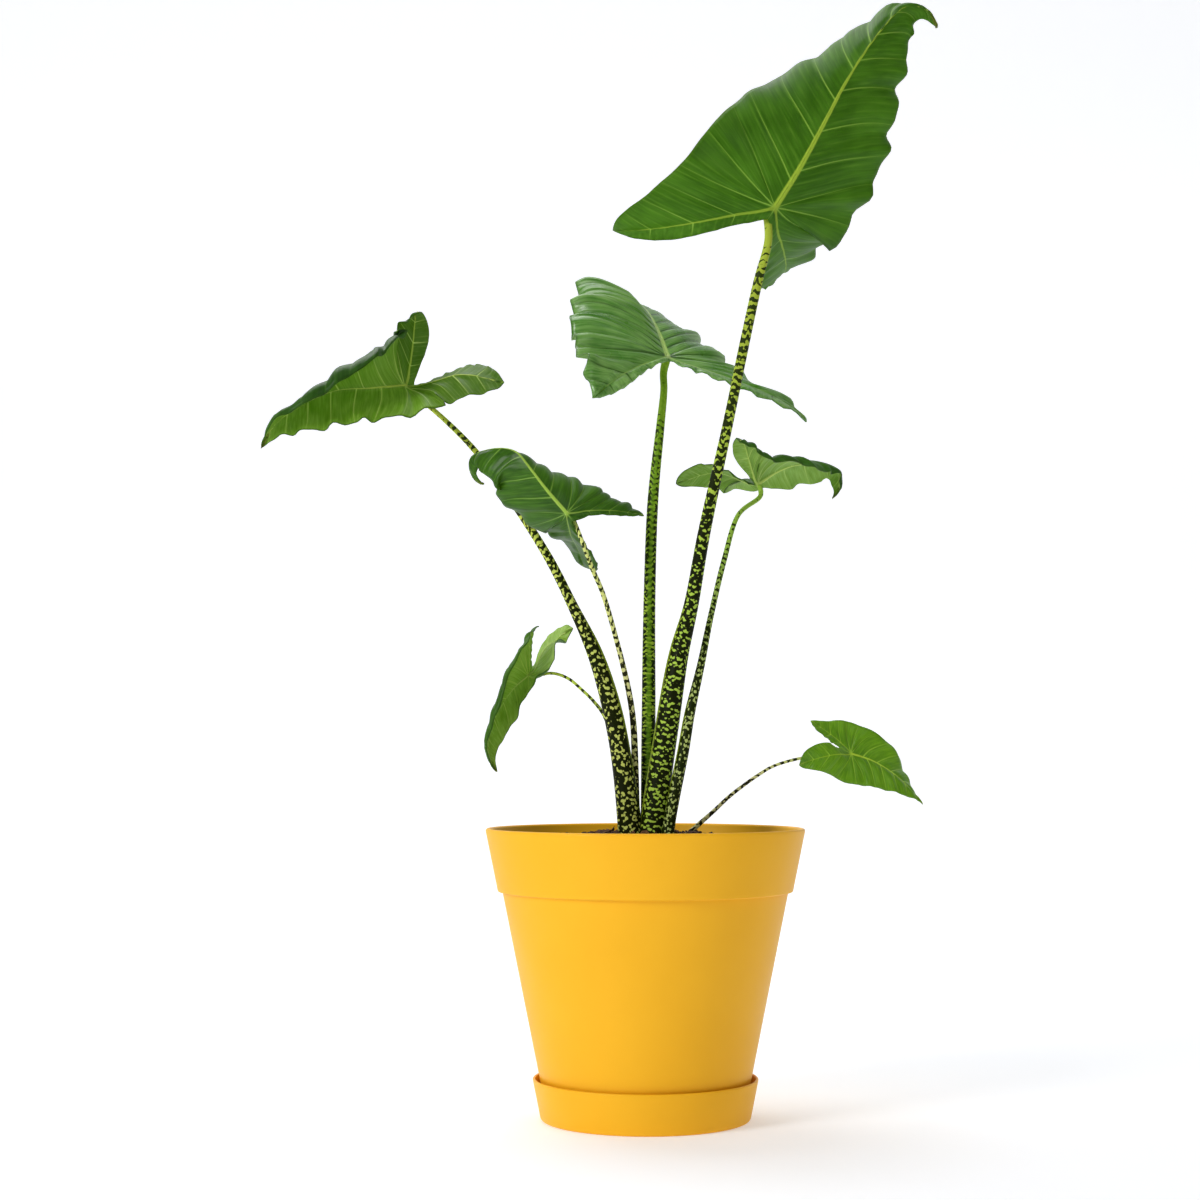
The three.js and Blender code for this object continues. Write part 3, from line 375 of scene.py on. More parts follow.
def new_grid(name, x_faces, y_faces):
    """A grid without a UV map, its mesh, and its points' places in it from 0 to 1."""
    bpy.ops.mesh.primitive_grid_add(x_subdivisions=x_faces, y_subdivisions=y_faces, size=1)
    piece = bpy.context.object
    piece.name = name
    mesh = piece.data
    mesh.uv_layers.remove(mesh.uv_layers[0])
    spots = np.empty(len(mesh.vertices) * 3, np.float32)
    mesh.vertices.foreach_get("co", spots)
    return piece, mesh, spots.reshape(-1, 3) + 0.5


def set_points(mesh, points):
    mesh.vertices.foreach_set("co", (np.asarray(points) * MM).astype(np.float32).ravel())
    mesh.update()


def ease(t):
    t = np.clip(t, 0, 1)
    return t * t * (3 - 2 * t)


def unit(v):
    return v / np.linalg.norm(v, axis=-1, keepdims=True)


class Curve:
    """A smooth curve through points, read by its share of length."""

    def __init__(self, points, steps=12):
        p = np.asarray(points, float)
        p = np.vstack([2 * p[0] - p[1], p, 2 * p[-1] - p[-2]])
        fine = []
        for p0, p1, p2, p3 in zip(p[:-3], p[1:-2], p[2:-1], p[3:]):
            t1 = math.sqrt(np.linalg.norm(p1 - p0))
            t2 = t1 + math.sqrt(np.linalg.norm(p2 - p1))
            t3 = t2 + math.sqrt(np.linalg.norm(p3 - p2))
            t = (t1 + (t2 - t1) * np.arange(steps) / steps)[:, None]
            a1 = p0 + (p1 - p0) * t / t1
            a2 = p1 + (p2 - p1) * (t - t1) / (t2 - t1)
            a3 = p2 + (p3 - p2) * (t - t2) / (t3 - t2)
            b1 = a1 + (a2 - a1) * t / t2
            b2 = a2 + (a3 - a2) * (t - t1) / (t3 - t1)
            fine.append(b1 + (b2 - b1) * (t - t1) / (t2 - t1))
        self.fine = np.vstack([*fine, p[-2]])
        self.reach = np.concatenate([[0], np.cumsum(np.linalg.norm(np.diff(self.fine, axis=0), axis=1))])
        self.total = self.reach[-1]

    def at(self, share):
        wanted = np.clip(share, 0, 1) * self.total
        return np.stack([np.interp(wanted, self.reach, column) for column in self.fine.T], -1)


class Midrib:
    """The midrib's line, with its direction and the way its upper face looks at each step."""

    def __init__(self, leaf, steps=60):
        curve = Curve(leaf["midrib"])
        self.total, self.steps = curve.total, steps
        self.place = curve.at(np.arange(steps + 1) / steps)
        padded = np.vstack([self.place[:1], self.place, self.place[-1:]])
        self.along = unit(padded[2:] - padded[:-2])
        facing = np.array(leaf["facing"], float)
        facings = []
        for direction in self.along:
            facing = unit(facing - direction * (facing @ direction))
            facings.append(facing)
        self.facings = np.array(facings)

    def read(self, share):
        station = np.clip(share, 0, 1) * self.steps
        i = np.minimum(station.astype(int), self.steps - 1)
        t = (station - i)[..., None]
        pick = lambda values: values[i] + (values[i + 1] - values[i]) * t
        return pick(self.place), unit(pick(self.along)), unit(pick(self.facings))


# Leaf blades

OUTER, RIB, INNER = Curve(OUTER_MARGIN), Curve(LOBE_RIB), Curve(INNER_MARGIN)
FRACTIONS = np.linspace(0, 1, 2001)
MARGIN_HEIGHTS = np.maximum.accumulate(OUTER.at(FRACTIONS)[:, 1])
# Vein numbers run from the lobe's end through the fan at the junction to the tip
LOBE_VEINS, FAN_VEINS = 4, 2
LOBE_SPACING, LOBE_BOW, LEAD_FADING = 0.9, 0.04, 0.6
WEB_WIDTH = 0.25
# How a half bends: the knee's length, the steps along the lobe, the breadth that a curl is given
# for, and the least breadth, in blade lengths but for the steps
KNEE_LENGTH, BEND_STEPS, CURL_BREADTH, LEAST_BREADTH = 0.06, 8, 0.4, 0.01
# The margin's second, quicker wave, how the waves fade at both ends, and their share on the inner strip
SECOND_WAVE, SECOND_RATE, WAVE_FADE, STRIP_WAVE = 0.45, 1.7, 0.12, 0.4
# Half width of the lobe's rib against the midrib, of the thinnest end in mm, and how the midrib thins
LOBE_RIB_WIDTH, THINNEST_RIB, RIB_THINNING = 0.4, 0.25, 1.5


def fraction_at(height):
    """Share of the outer margin's length at a height along the blade."""
    return np.interp(height, MARGIN_HEIGHTS, FRACTIONS)


def shaped(half, p):
    """Widens the flat blade, and draws its lobe in or out."""
    x, y = p[..., 0], p[..., 1]
    lobe = ease(-y / LOBE_END)
    off = ease(x / MIDRIB_EASE)
    wide = half["width"] * (1 - lobe) + half["splay"] * lobe
    return np.stack([x * wide, np.where(y < 0, y * (1 + (half["lobe"] - 1) * off), y)], -1)


def flat_outer(half, laterals, lead, bow, rows, s):
    """Flat points at shares s of the side-vein lines, which run from the ribs to the outer margin."""
    start = fraction_at(FAN_START)
    lobe, fan = rows / LOBE_VEINS, (rows - LOBE_VEINS) / FAN_VEINS
    stem_from = LOBE_VEINS + FAN_VEINS
    heights = np.interp(rows, stem_from + np.arange(len(laterals) + 2), [0, *laterals, 1])
    in_lobe, in_fan = rows < LOBE_VEINS, rows <= stem_from
    end = fraction_at(lead)
    tops = fraction_at(np.minimum(heights + lead * np.clip(1 - heights, 0, 1) ** LEAD_FADING, 1))
    m = np.where(in_fan, start + (end - start) * fan, tops)
    m = np.where(in_lobe, np.clip(lobe, 0, 1) ** LOBE_SPACING * start, m)
    stem = np.stack([0 * rows, heights], -1)
    begin = np.where(in_fan[:, None], 0, stem)
    begin = np.where(in_lobe[:, None], shaped(half, RIB.at(1 - lobe)), begin)
    to = shaped(half, OUTER.at(m))
    to[-1] = (0, 1)
    d = to - begin
    sideways = np.stack([d[:, 1], -d[:, 0]], -1) * np.where(d[:, :1] > 0, 1, -1)
    push = np.where(in_lobe, LOBE_BOW, bow)[:, None] * s * (1 - s)
    flat = begin[:, None] + d[:, None] * s[..., None] + sideways[:, None] * push[..., None]
    return flat, np.broadcast_to(m[:, None], s.shape)


def flat_inner(half, web, rows, s):
    """The same for the strip between the lobe's rib and its inner margin."""
    q = 1 - rows / LOBE_VEINS
    rib, edge = RIB.at(q), INNER.at(q)
    edge = rib + (edge - rib) * half["fringe"]
    own = INNER_MARGIN[0][1] * half["fringe"]
    edge[:, 1] -= (web + own) * (1 - ease(edge[:, 0] / WEB_WIDTH))
    a, b = shaped(half, rib), shaped(half, edge)
    return a[:, None] + (b - a)[:, None] * s[..., None], np.broadcast_to((1 - q)[:, None], s.shape)


def between(values, y):
    """Smooth value between those at the lobe's end, the junction, half way and the tip."""
    y = np.clip(y, -0.5, 1)
    stops = (-LOBE_END, 0, 0.5, 1)
    total = 0
    for i, value in enumerate(values):
        weight = 1
        for j, x in enumerate(stops):
            if j != i:
                weight = weight * (y - x) / (stops[i] - x)
        total = total + value * weight
    return total


def bent_strip(angle, turn, distance):
    """How far out and down a strip of this length ends, and its angle there."""
    turn = np.where(np.abs(turn) < 1e-6, 1e-6, turn)
    end = angle + turn * distance
    return (np.sin(end) - np.sin(angle)) / turn, (np.cos(angle) - np.cos(end)) / turn, end


def grown(leaf, rib, side, flat, s, m):
    """Carries the flat blade's points to their places: each half drops, curls and turns its hem."""
    half, other = (leaf["right"], leaf["left"]) if side > 0 else (leaf["left"], leaf["right"])
    size = rib.total
    fx, fy = flat[..., 0], flat[..., 1]
    place, along, facing = rib.read(fy)
    turn = np.radians(leaf["twist"]) * np.clip(fy, 0, 1)[..., None]
    facing = facing * np.cos(turn) + np.cross(along, facing) * np.sin(turn)
    across = np.cross(along, facing)
    behind = np.clip(-fy, 0, None) * size
    off = ease(fx / MIDRIB_EASE)
    own = lambda key: (half[key] + other[key]) / 2 * (1 - off) + half[key] * off
    knee, swing = np.radians(own("knee")), np.radians(own("swing")) / size
    bend_at = lambda q: knee * (1 - np.exp(-q / (KNEE_LENGTH * size))) + swing * q
    run, fall = 0, 0
    for k in range(BEND_STEPS):
        angle = bend_at(behind * (k + 0.5) / BEND_STEPS)
        run = run + np.cos(angle) * behind / BEND_STEPS
        fall = fall + np.sin(angle) * behind / BEND_STEPS
    end = bend_at(behind)[..., None]
    place = place - along * run[..., None] - facing * fall[..., None]
    facing = facing * np.cos(end) - along * np.sin(end)
    back = np.where(fy < 0, fy / half["lobe"], fy)
    lobe = ease(-back / LOBE_END)
    wide = half["width"] * (1 - lobe) + half["splay"] * lobe
    half_width = (OUTER.at(fraction_at(back))[..., 0] * wide + LEAST_BREADTH) * size
    hem_start = half["hem_from"] * half_width
    curl = np.radians(between(half["curl"], fy)) / (CURL_BREADTH * size)
    hem = np.radians(between(half["hem"], fy)) / (half_width - hem_start)
    drop = np.radians(between(half["drop"], fy))
    out1, down1, angle = bent_strip(drop, curl, np.minimum(fx * size, hem_start))
    out2, down2, angle = bent_strip(angle, curl + hem, np.clip(fx * size - hem_start, 0, None))
    outward = across * side
    point = place + outward * (out1 + out2)[..., None] - facing * (down1 + down2)[..., None]
    normal = facing * np.cos(angle)[..., None] + outward * np.sin(angle)[..., None]
    phase = 2 * np.pi * (half["waves"] * m + half["start"])
    wave = np.sin(phase) + SECOND_WAVE * np.sin(SECOND_RATE * phase + 1)
    fade = ease(m / WAVE_FADE) * ease((1 - m) / WAVE_FADE)
    ruffle = half["wave"] * wave * fade * s * s * np.where(s < 0, STRIP_WAVE, 1) * size
    return point + normal * ruffle[..., None], normal


def rib_ratio(half, flat, size, rib_width):
    """Distance to the nearest rib in units of its own half width, and that half width in mm."""
    q = np.linspace(0, 1, 120)
    lines = np.vstack([shaped(half, RIB.at(q)), np.stack([0 * q, q], -1)])
    widths = np.concatenate([LOBE_RIB_WIDTH * (1 - q), (1 - q) ** RIB_THINNING]) * rib_width + THINNEST_RIB
    gaps = np.linalg.norm(flat[..., None, :] - lines, axis=-1) * size / widths
    nearest = np.argmin(gaps, -1)
    return np.take_along_axis(gaps, nearest[..., None], -1)[..., 0], widths[nearest]


# A blade's relief. The swelling between two side veins is rounded, fades in from the midrib and out at
# the margin, and is lower on the lobe's inner strip. Ribs and side veins stand out on the underside.
DENSER_INSIDE = 1.25
SWELL_ROUNDING = 0.8
LESSER_SWELL = 0.35
STRIP_SWELL = 0.5
FADE_IN, FADE_OUT, FADE_END = 3.5, 4, 1.08
FAINT_ROWS, FAINT_VEIN = (1, 3, LOBE_VEINS + FAN_VEINS), 0.6
VEIN_WIDTH, VEIN_PER_RIB, VEIN_THINNING = 0.32, 0.1, 0.6
RIB_HEIGHT, RIB_REACH = 1.1, 1.25
VEIN_HEIGHT, VEIN_REACH = 0.55, 1.5
# Thickness in mm that a weight of 1 in the group "ribs" stands for
RIB_LIMIT = 8.0


def half_surface(name, leaf, looks, rib, side, inner):
    """A grid laid along the side veins of one half, with the veins' places in its UV maps."""
    pick = int(side > 0)
    half = leaf[("left", "right")[pick]]
    laterals, lead, bow, puff = (looks[key][pick] for key in ("laterals", "lead", "bow", "puff"))
    fine = looks["fine"]
    veins = LOBE_VEINS if inner else LOBE_VEINS + FAN_VEINS + len(laterals) + 1
    piece, mesh, spots = new_grid(name, veins * fine, looks["across"] // 4 if inner else looks["across"])
    rows = np.round(spots[:, 0] * veins * fine) / fine
    out = spots[:, 1] ** DENSER_INSIDE
    row_values, column_values = np.unique(rows), np.unique(out)
    here = np.searchsorted(row_values, rows), np.searchsorted(column_values, out)
    s = np.broadcast_to(column_values, (len(row_values), len(column_values)))
    if inner:
        flat, m = flat_inner(half, leaf["web"], row_values, s)
    else:
        flat, m = flat_outer(half, laterals, lead, bow, row_values, s)
    point, normal = grown(leaf, rib, side, flat, -s if inner else s, m)
    steps = np.linalg.norm(np.gradient(flat, axis=0), axis=-1) * rib.total * fine
    wave = np.abs(np.sin(np.pi * row_values)) ** SWELL_ROUNDING
    wave = wave + LESSER_SWELL * (looks["folds"] - 1) * np.abs(np.sin(looks["folds"] * np.pi * row_values))
    swell = np.minimum(puff, looks["pleat"] * steps) * wave[:, None]
    swell = swell * ease(s * FADE_IN) * ease((FADE_END - s) * FADE_OUT)
    point = point + normal * (swell * (STRIP_SWELL if inner else 1))[..., None]
    ratio, width = rib_ratio(half, flat, rib.total, looks["rib"])
    strong = np.where(np.isin(np.round(row_values), FAINT_ROWS), FAINT_VEIN, 1)[:, None]
    taper = (VEIN_WIDTH + looks["rib"] * VEIN_PER_RIB) * (1 - VEIN_THINNING * s) * strong * looks["groove"]
    vein = np.abs(row_values - np.round(row_values))[:, None] * steps / taper
    ridge = RIB_HEIGHT * width * np.sqrt(np.clip(1 - (ratio / RIB_REACH) ** 2, 0, 1))
    ridge = np.maximum(ridge, VEIN_HEIGHT * taper * np.clip(1 - vein / VEIN_REACH, 0, 1))
    set_points(mesh, point[here])
    thick = piece.vertex_groups.new(name="ribs")
    for i, value in enumerate((BLADE_THICKNESS + ridge[here]) / RIB_LIMIT):
        thick.add([i], float(value), "REPLACE")
    corners = np.empty(len(mesh.loops), np.int32)
    mesh.loops.foreach_get("vertex_index", corners)
    for title, pair in {"veins": (rows, out), "ribs": (ratio[here], vein[here])}.items():
        layer = mesh.uv_layers.new(name=title)
        layer.uv.foreach_set("vector", np.stack(pair, -1)[corners].astype(np.float32).ravel())
    looks_at = np.empty(len(mesh.polygons) * 3, np.float32)
    mesh.polygons.foreach_get("normal", looks_at)
    first = np.array([p.vertices[0] for p in mesh.polygons])
    if (looks_at.reshape(-1, 3) * normal[here][first]).sum() < 0:
        in_edit(piece, (bpy.ops.mesh.flip_normals, {}))
    return piece


def blade(key, leaf, looks, upper, under):
    rib = Midrib(leaf)
    parts = [
        half_surface(f"part_{side}_{inner}", leaf, looks, rib, side, inner)
        for side in (-1, 1) for inner in (False, True)
    ]
    piece = joined(parts, f"leaf_{key}")
    in_edit(
        piece,
        (bpy.ops.mesh.remove_doubles, {"threshold": 2 * WELD}),
        (bpy.ops.mesh.dissolve_degenerate, {"threshold": WELD / 2}),
    )
    piece.data.materials.append(upper)
    piece.data.materials.append(under)
    lift = piece.modifiers.new("upper_face", "DISPLACE")
    lift.strength = BLADE_THICKNESS / 2 * MM
    lift.mid_level = 0
    shell = piece.modifiers.new("thickness", "SOLIDIFY")
    shell.thickness = RIB_LIMIT * MM
    shell.offset = -1
    shell.vertex_group = "ribs"
    shell.material_offset = 1
    shell.material_offset_rim = 0
    finish_modifiers(piece)
    bpy.ops.object.shade_smooth()
    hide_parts(f"blade_{key}")
    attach(piece, "root")


# Stalks

RING_GAP, FEWEST_RINGS = 3.2, 60
THICK_SIDES, THIN_SIDES, THIN_RADIUS = 40, 24, 1.7
FIN_SHARPNESS = 8
SHEATH_FROM, SHEATH_BLEND, FULL_SHEATH = 0.55, 0.4, 0.8
SWELL_HEIGHT = 75
# The last places under the blade, in top radii: how far below it and how thick. The first is the bend.
BEND_RADIUS, NECK, NECK_RADIUS, END, END_RADIUS = 1.05, 1.1, 1.15, 0.2, 0.9
# The low right stalk lies flat as it leaves the soil, so its buried length is given
LOW_RIGHT_BURIED = 40


def stalk(key, values, leaf, material):
    """A tube round a smooth path, whose skin carries its own unrolled place for the mottling."""
    rib = Midrib(leaf)
    across = np.cross(rib.along[0], rib.facings[0])
    left, right = leaf["left"]["drop"][1], leaf["right"]["drop"][1]
    lean = math.radians((right - left) / 2)
    down = -(rib.facings[0] * math.cos(lean) + across * math.sin(lean))
    down = down / math.cos(math.radians((right + left) / 2))
    if values["down"]:
        down = np.array(values["down"])
    r = values["top_radius"]
    below = lambda distance: rib.place[0] + down * distance
    bend = below(r * values["stand_off"]) - np.array(values["arrive"]) * r * values["lead"]
    x, y, foot_radius = values["foot"]
    path = [[x, y, z, foot_radius, 0] for z in (STALK_FOOT, FOOT_TOP)] + values["path"]
    path.append([*bend, r * BEND_RADIUS, 0])
    path += [[*below(r * NECK), r * NECK_RADIUS, 0], [*below(r * END), r * END_RADIUS, 0]]
    curve = Curve(path)
    rings = max(FEWEST_RINGS, int(curve.total / RING_GAP))
    sides = THICK_SIDES if r > THIN_RADIUS else THIN_SIDES
    piece, mesh, spots = new_grid(f"petiole_{key}", sides, rings)
    ring = np.round(spots[:, 1] * rings).astype(int)
    angle = spots[:, 0] * 2 * np.pi
    centres = curve.at(np.arange(rings + 1) / rings)
    padded = np.vstack([centres[:1], centres, centres[-1:]])[:, :3]
    along = unit(padded[2:] - padded[:-2])
    along[0] = (0, 0, 1)
    side = np.array(values["sheath_side"], float)
    u = unit(side - along * (along @ side)[:, None])
    v = np.cross(along, u)
    fin = np.clip(np.cos(angle), 0, 1) ** FIN_SHARPNESS
    foot = 1 + STALK_LOOKS[key]["swell"] * (1 - ease((centres[ring, 2] - SOIL_EDGE) / SWELL_HEIGHT))
    reach = centres[ring, 3] * foot + centres[ring, 4] * fin
    spoke = u[ring] * np.cos(angle)[:, None] + v[ring] * np.sin(angle)[:, None]
    set_points(mesh, centres[ring, :3] + spoke * reach[:, None])
    lengths = np.concatenate([[0], np.cumsum(np.linalg.norm(np.diff(centres[:, :3], axis=0), axis=1))])
    buried = np.interp(SOIL_EDGE + SOIL_MOUND, centres[:, 2], lengths)
    if key == "low_right":
        buried = LOW_RIGHT_BURIED
    radius, above = centres[ring, 3], lengths[ring] - buried
    unrolled = np.stack([radius * np.cos(angle), radius * np.sin(angle), above], -1)
    facing = np.cos(angle)
    sheath = np.clip((facing - SHEATH_FROM) / SHEATH_BLEND, 0, 1)
    sheath = sheath * np.clip(centres[ring, 4] / FULL_SHEATH, 0, 1)
    facts = np.stack([above / (lengths[-1] - buried), sheath, facing], -1)
    for title, vectors in (("unrolled", unrolled), ("height_sheath", facts)):
        layer = mesh.attributes.new(title, "FLOAT_VECTOR", "POINT")
        layer.data.foreach_set("vector", vectors.astype(np.float32).ravel())
    in_edit(
        piece,
        (bpy.ops.mesh.remove_doubles, {"threshold": WELD}),
        (bpy.ops.mesh.fill_holes, {"sides": sides}),
        (bpy.ops.mesh.normals_make_consistent, {"inside": False}),
    )
    mesh.materials.append(material)
    smooth_below(piece, 70)
    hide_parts(f"stalk_{key}")
    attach(piece, "root")


# Pot, saucer, soil

def corner(centre, radius, start, end, steps=5):
    """A rounded corner of a profile, from one direction to another in degrees."""
    angles = np.radians(np.linspace(start, end, steps + 1))
    return [(centre[0] + radius * math.cos(a), centre[1] + radius * math.sin(a)) for a in angles]


def turned(name, profile, material, sides=TURNED_SIDES):
    """Spins a profile of (radius, height) once round the Z axis into a closed body."""
    mesh = bpy.data.meshes.new(name)
    points = [(r * MM, 0, z * MM) for r, z in profile]
    mesh.from_pydata(points, [(i, i + 1) for i in range(len(points) - 1)], [])
    piece = new_object(name, mesh)
    spin = {"steps": sides, "angle": 2 * math.pi, "center": (0, 0, 0), "axis": (0, 0, 1)}
    in_edit(
        piece,
        (bpy.ops.mesh.spin, spin),
        (bpy.ops.mesh.select_all, {"action": "SELECT"}),
        (bpy.ops.mesh.remove_doubles, {"threshold": WELD}),
        (bpy.ops.mesh.normals_make_consistent, {"inside": False}),
    )
    mesh.materials.append(material)
    return piece


def pot(material):
    inner_base = POT_BASE_RADIUS - POT_WALL + 1 - FLOOR_ROUND
    profile = [
        (0, POT_BOTTOM),
        *corner((POT_BASE_RADIUS - FOOT_ROUND, POT_BOTTOM + FOOT_ROUND), FOOT_ROUND, -90, 0),
        *corner((POT_BODY_RADIUS + STEP_ROUND, POT_BAND_BOTTOM - STEP_ROUND), STEP_ROUND, 180, 90),
        *corner((POT_BAND_RADIUS - FOLD_ROUND, POT_BAND_BOTTOM + FOLD_ROUND), FOLD_ROUND, -90, 0),
        *corner((POT_RIM_RADIUS - POT_LIP, POT_TOP - POT_LIP), POT_LIP, -10, 190, 10),
        (POT_BAND_RADIUS - POT_WALL, POT_BAND_BOTTOM + POT_STEP),
        (POT_BODY_RADIUS - POT_WALL, POT_BAND_BOTTOM - POT_STEP),
        *corner((inner_base, POT_BOTTOM + POT_FLOOR + FLOOR_ROUND), FLOOR_ROUND, 0, -90),
        (0, POT_BOTTOM + POT_FLOOR),
    ]
    piece = turned("pot_moulded", profile, material)
    for a in np.arange(DRAIN_HOLES) * 2 * math.pi / DRAIN_HOLES:
        place = (DRAIN_RING * math.cos(a) * MM, DRAIN_RING * math.sin(a) * MM, POT_BOTTOM * MM)
        bpy.ops.mesh.primitive_cylinder_add(
            vertices=DRAIN_SIDES, radius=DRAIN_RADIUS * MM, depth=DRILL_LENGTH * MM, location=place
        )
        drill = bpy.context.object
        cut = piece.modifiers.new("drain", "BOOLEAN")
        cut.operation = "DIFFERENCE"
        cut.object = drill
        finish_modifiers(piece)
        bpy.data.objects.remove(drill)
    smooth_below(piece, 30)
    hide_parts("pot")
    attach(piece, "root")


def saucer(material):
    half = SAUCER_WALL / 2
    inner_foot = SAUCER_FOOT + SAUCER_CORNER - SAUCER_WALL
    profile = [
        (0, 0), *corner((SAUCER_FOOT, SAUCER_CORNER), SAUCER_CORNER, -90, -8),
        *corner((SAUCER_RIM - half, SAUCER_TOP - half), half, -8, 188, 10),
        *corner((inner_foot - FOOT_ROUND, SAUCER_FLOOR + FOOT_ROUND), FOOT_ROUND, 0, -90),
        (0, SAUCER_FLOOR),
    ]
    piece = turned("saucer_moulded", profile, material)
    smooth_below(piece, 30)
    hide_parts("saucer")
    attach(piece, "root")


def pot_inner_radius(z):
    """Radius of the pot's inner wall in its band."""
    low, high = POT_BAND_BOTTOM + POT_STEP, POT_TOP - POT_LIP
    share = (z - low) / (high - low)
    narrow, wide = POT_BAND_RADIUS - POT_WALL, POT_RIM_RADIUS - 2 * POT_LIP
    return narrow + (wide - narrow) * share


def soil_height(r):
    return SOIL_EDGE + SOIL_MOUND * np.interp(r, MOUND_RADII, MOUND_SHARES)


def soil(material):
    """Potting mix: a filled body with a crumbly top."""
    low = POT_BOTTOM + POT_FLOOR + FIT_GAP
    radii = np.linspace(pot_inner_radius(SOIL_EDGE) - SOIL_EDGE_GAP, 0, SOIL_RINGS)
    profile = [
        (0, low), (SOIL_BASE_RADIUS, low),
        (POT_BODY_RADIUS - POT_WALL - SOIL_GAP, POT_BAND_BOTTOM - POT_STEP),
        (POT_BAND_RADIUS - POT_WALL - SOIL_GAP, POT_BAND_BOTTOM + POT_STEP),
        *[(r, soil_height(r)) for r in radii],
    ]
    piece = turned("potting_mix", profile, material, sides=SOIL_SIDES)
    top = piece.vertex_groups.new(name="top")
    crumbly = (SOIL_EDGE - CRUMB_MARGIN) * MM
    top.add([v.index for v in piece.data.vertices if v.co.z > crumbly], 1, "REPLACE")
    for size, height in CRUMBS:
        crumb = bpy.data.textures.new(f"crumb_{size}", "CLOUDS")
        crumb.noise_scale = size * MM
        crumb.noise_depth = 2
        lumps = piece.modifiers.new("crumbs", "DISPLACE")
        lumps.texture = crumb
        lumps.texture_coords = "LOCAL"
        lumps.direction = "Z"
        lumps.strength = height * MM
        lumps.mid_level = 0.5
        lumps.vertex_group = "top"
    finish_modifiers(piece)
    smooth_below(piece, 40)
    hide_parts("soil")
    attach(piece, "root")


def scattered(name, count, sizes, flatness, material, seed, inner=0.0, outer=1.0, tilt=0.3):
    """Copies of one rough lump, scattered over the soil between two shares of its radius."""
    rng = np.random.default_rng(seed)
    bpy.ops.mesh.primitive_ico_sphere_add(subdivisions=2, radius=1)
    lump = bpy.context.object
    points = lump.data.vertices
    for point, rough in zip(points, LUMP_ROUGHNESS * rng.standard_normal(len(points))):
        point.co *= 1 + rough
    reach = pot_inner_radius(SOIL_EDGE) - WALL_CLEARANCE
    copies = []
    for _ in range(count):
        copy = lump.copy()
        copy.data = lump.data.copy()
        bpy.context.scene.collection.objects.link(copy)
        r = reach * (inner + (outer - inner) * math.sqrt(rng.random()))
        a = 2 * math.pi * rng.random()
        size = sizes[0] + (sizes[1] - sizes[0]) * rng.random() ** 2
        breadth = LUMP_BREADTH[0] + LUMP_BREADTH[1] * rng.random()
        height = flatness * (LUMP_HEIGHT[0] + LUMP_HEIGHT[1] * rng.random())
        spread = np.array([1, breadth, height]) * size
        copy.scale = [float(k) * MM for k in spread]
        copy.rotation_euler = (rng.normal() * tilt, rng.normal() * tilt, rng.random() * LUMP_TURN)
        z = float(soil_height(r)) + spread[2] * LUMP_LIFT
        copy.location = (r * math.cos(a) * MM, r * math.sin(a) * MM, z * MM)
        copies.append(copy)
    bpy.data.objects.remove(lump)
    only(copies[0])
    for copy in copies:
        copy.select_set(True)
    bpy.ops.object.transform_apply(location=True, rotation=True, scale=True)
    piece = joined(copies, name)
    piece.data.materials.append(material)
    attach(piece, "root")


# Materials

def linear(hex_colour):
    """A colour given as sRGB hex, in the linear values that Blender works in."""
    channels = [int(hex_colour[i:i + 2], 16) / 255 for i in (1, 3, 5)]
    return tuple(c / 12.92 if c <= 0.04045 else ((c + 0.055) / 1.055) ** 2.4 for c in channels) + (1.0,)


def new_material(name):
    """An empty material, and the function that adds a node to it."""
    material = bpy.data.materials.new(name)
    material.use_nodes = True
    tree = material.node_tree
    tree.nodes.clear()

    def add(kind, sockets=(), out=0, stops=(), **settings):
        """Adds a node and gives one output. Sockets take constants, sRGB hex or other nodes' outputs."""
        node = tree.nodes.new("ShaderNode" + kind)
        for option, value in settings.items():
            setattr(node, option, value)
        for i, (place, grey) in enumerate(stops):
            element = node.color_ramp.elements[i] if i < 2 else node.color_ramp.elements.new(place)
            element.position = place
            element.color = (grey, grey, grey, 1)
        for socket, value in sockets.items() if isinstance(sockets, dict) else enumerate(sockets):
            if isinstance(value, bpy.types.NodeSocket):
                tree.links.new(value, node.inputs[socket])
            else:
                node.inputs[socket].default_value = linear(value) if isinstance(value, str) else value
        return node.outputs[out] if len(node.outputs) else node

    return material, add


# Settings that many nodes share
EASED = {"interpolation_type": "SMOOTHSTEP"}
PLUS = {"operation": "MULTIPLY_ADD"}
TIMES = {"operation": "MULTIPLY"}
COLOURS = {"data_type": "RGBA", "out": 2}
TURN = 2 * math.pi


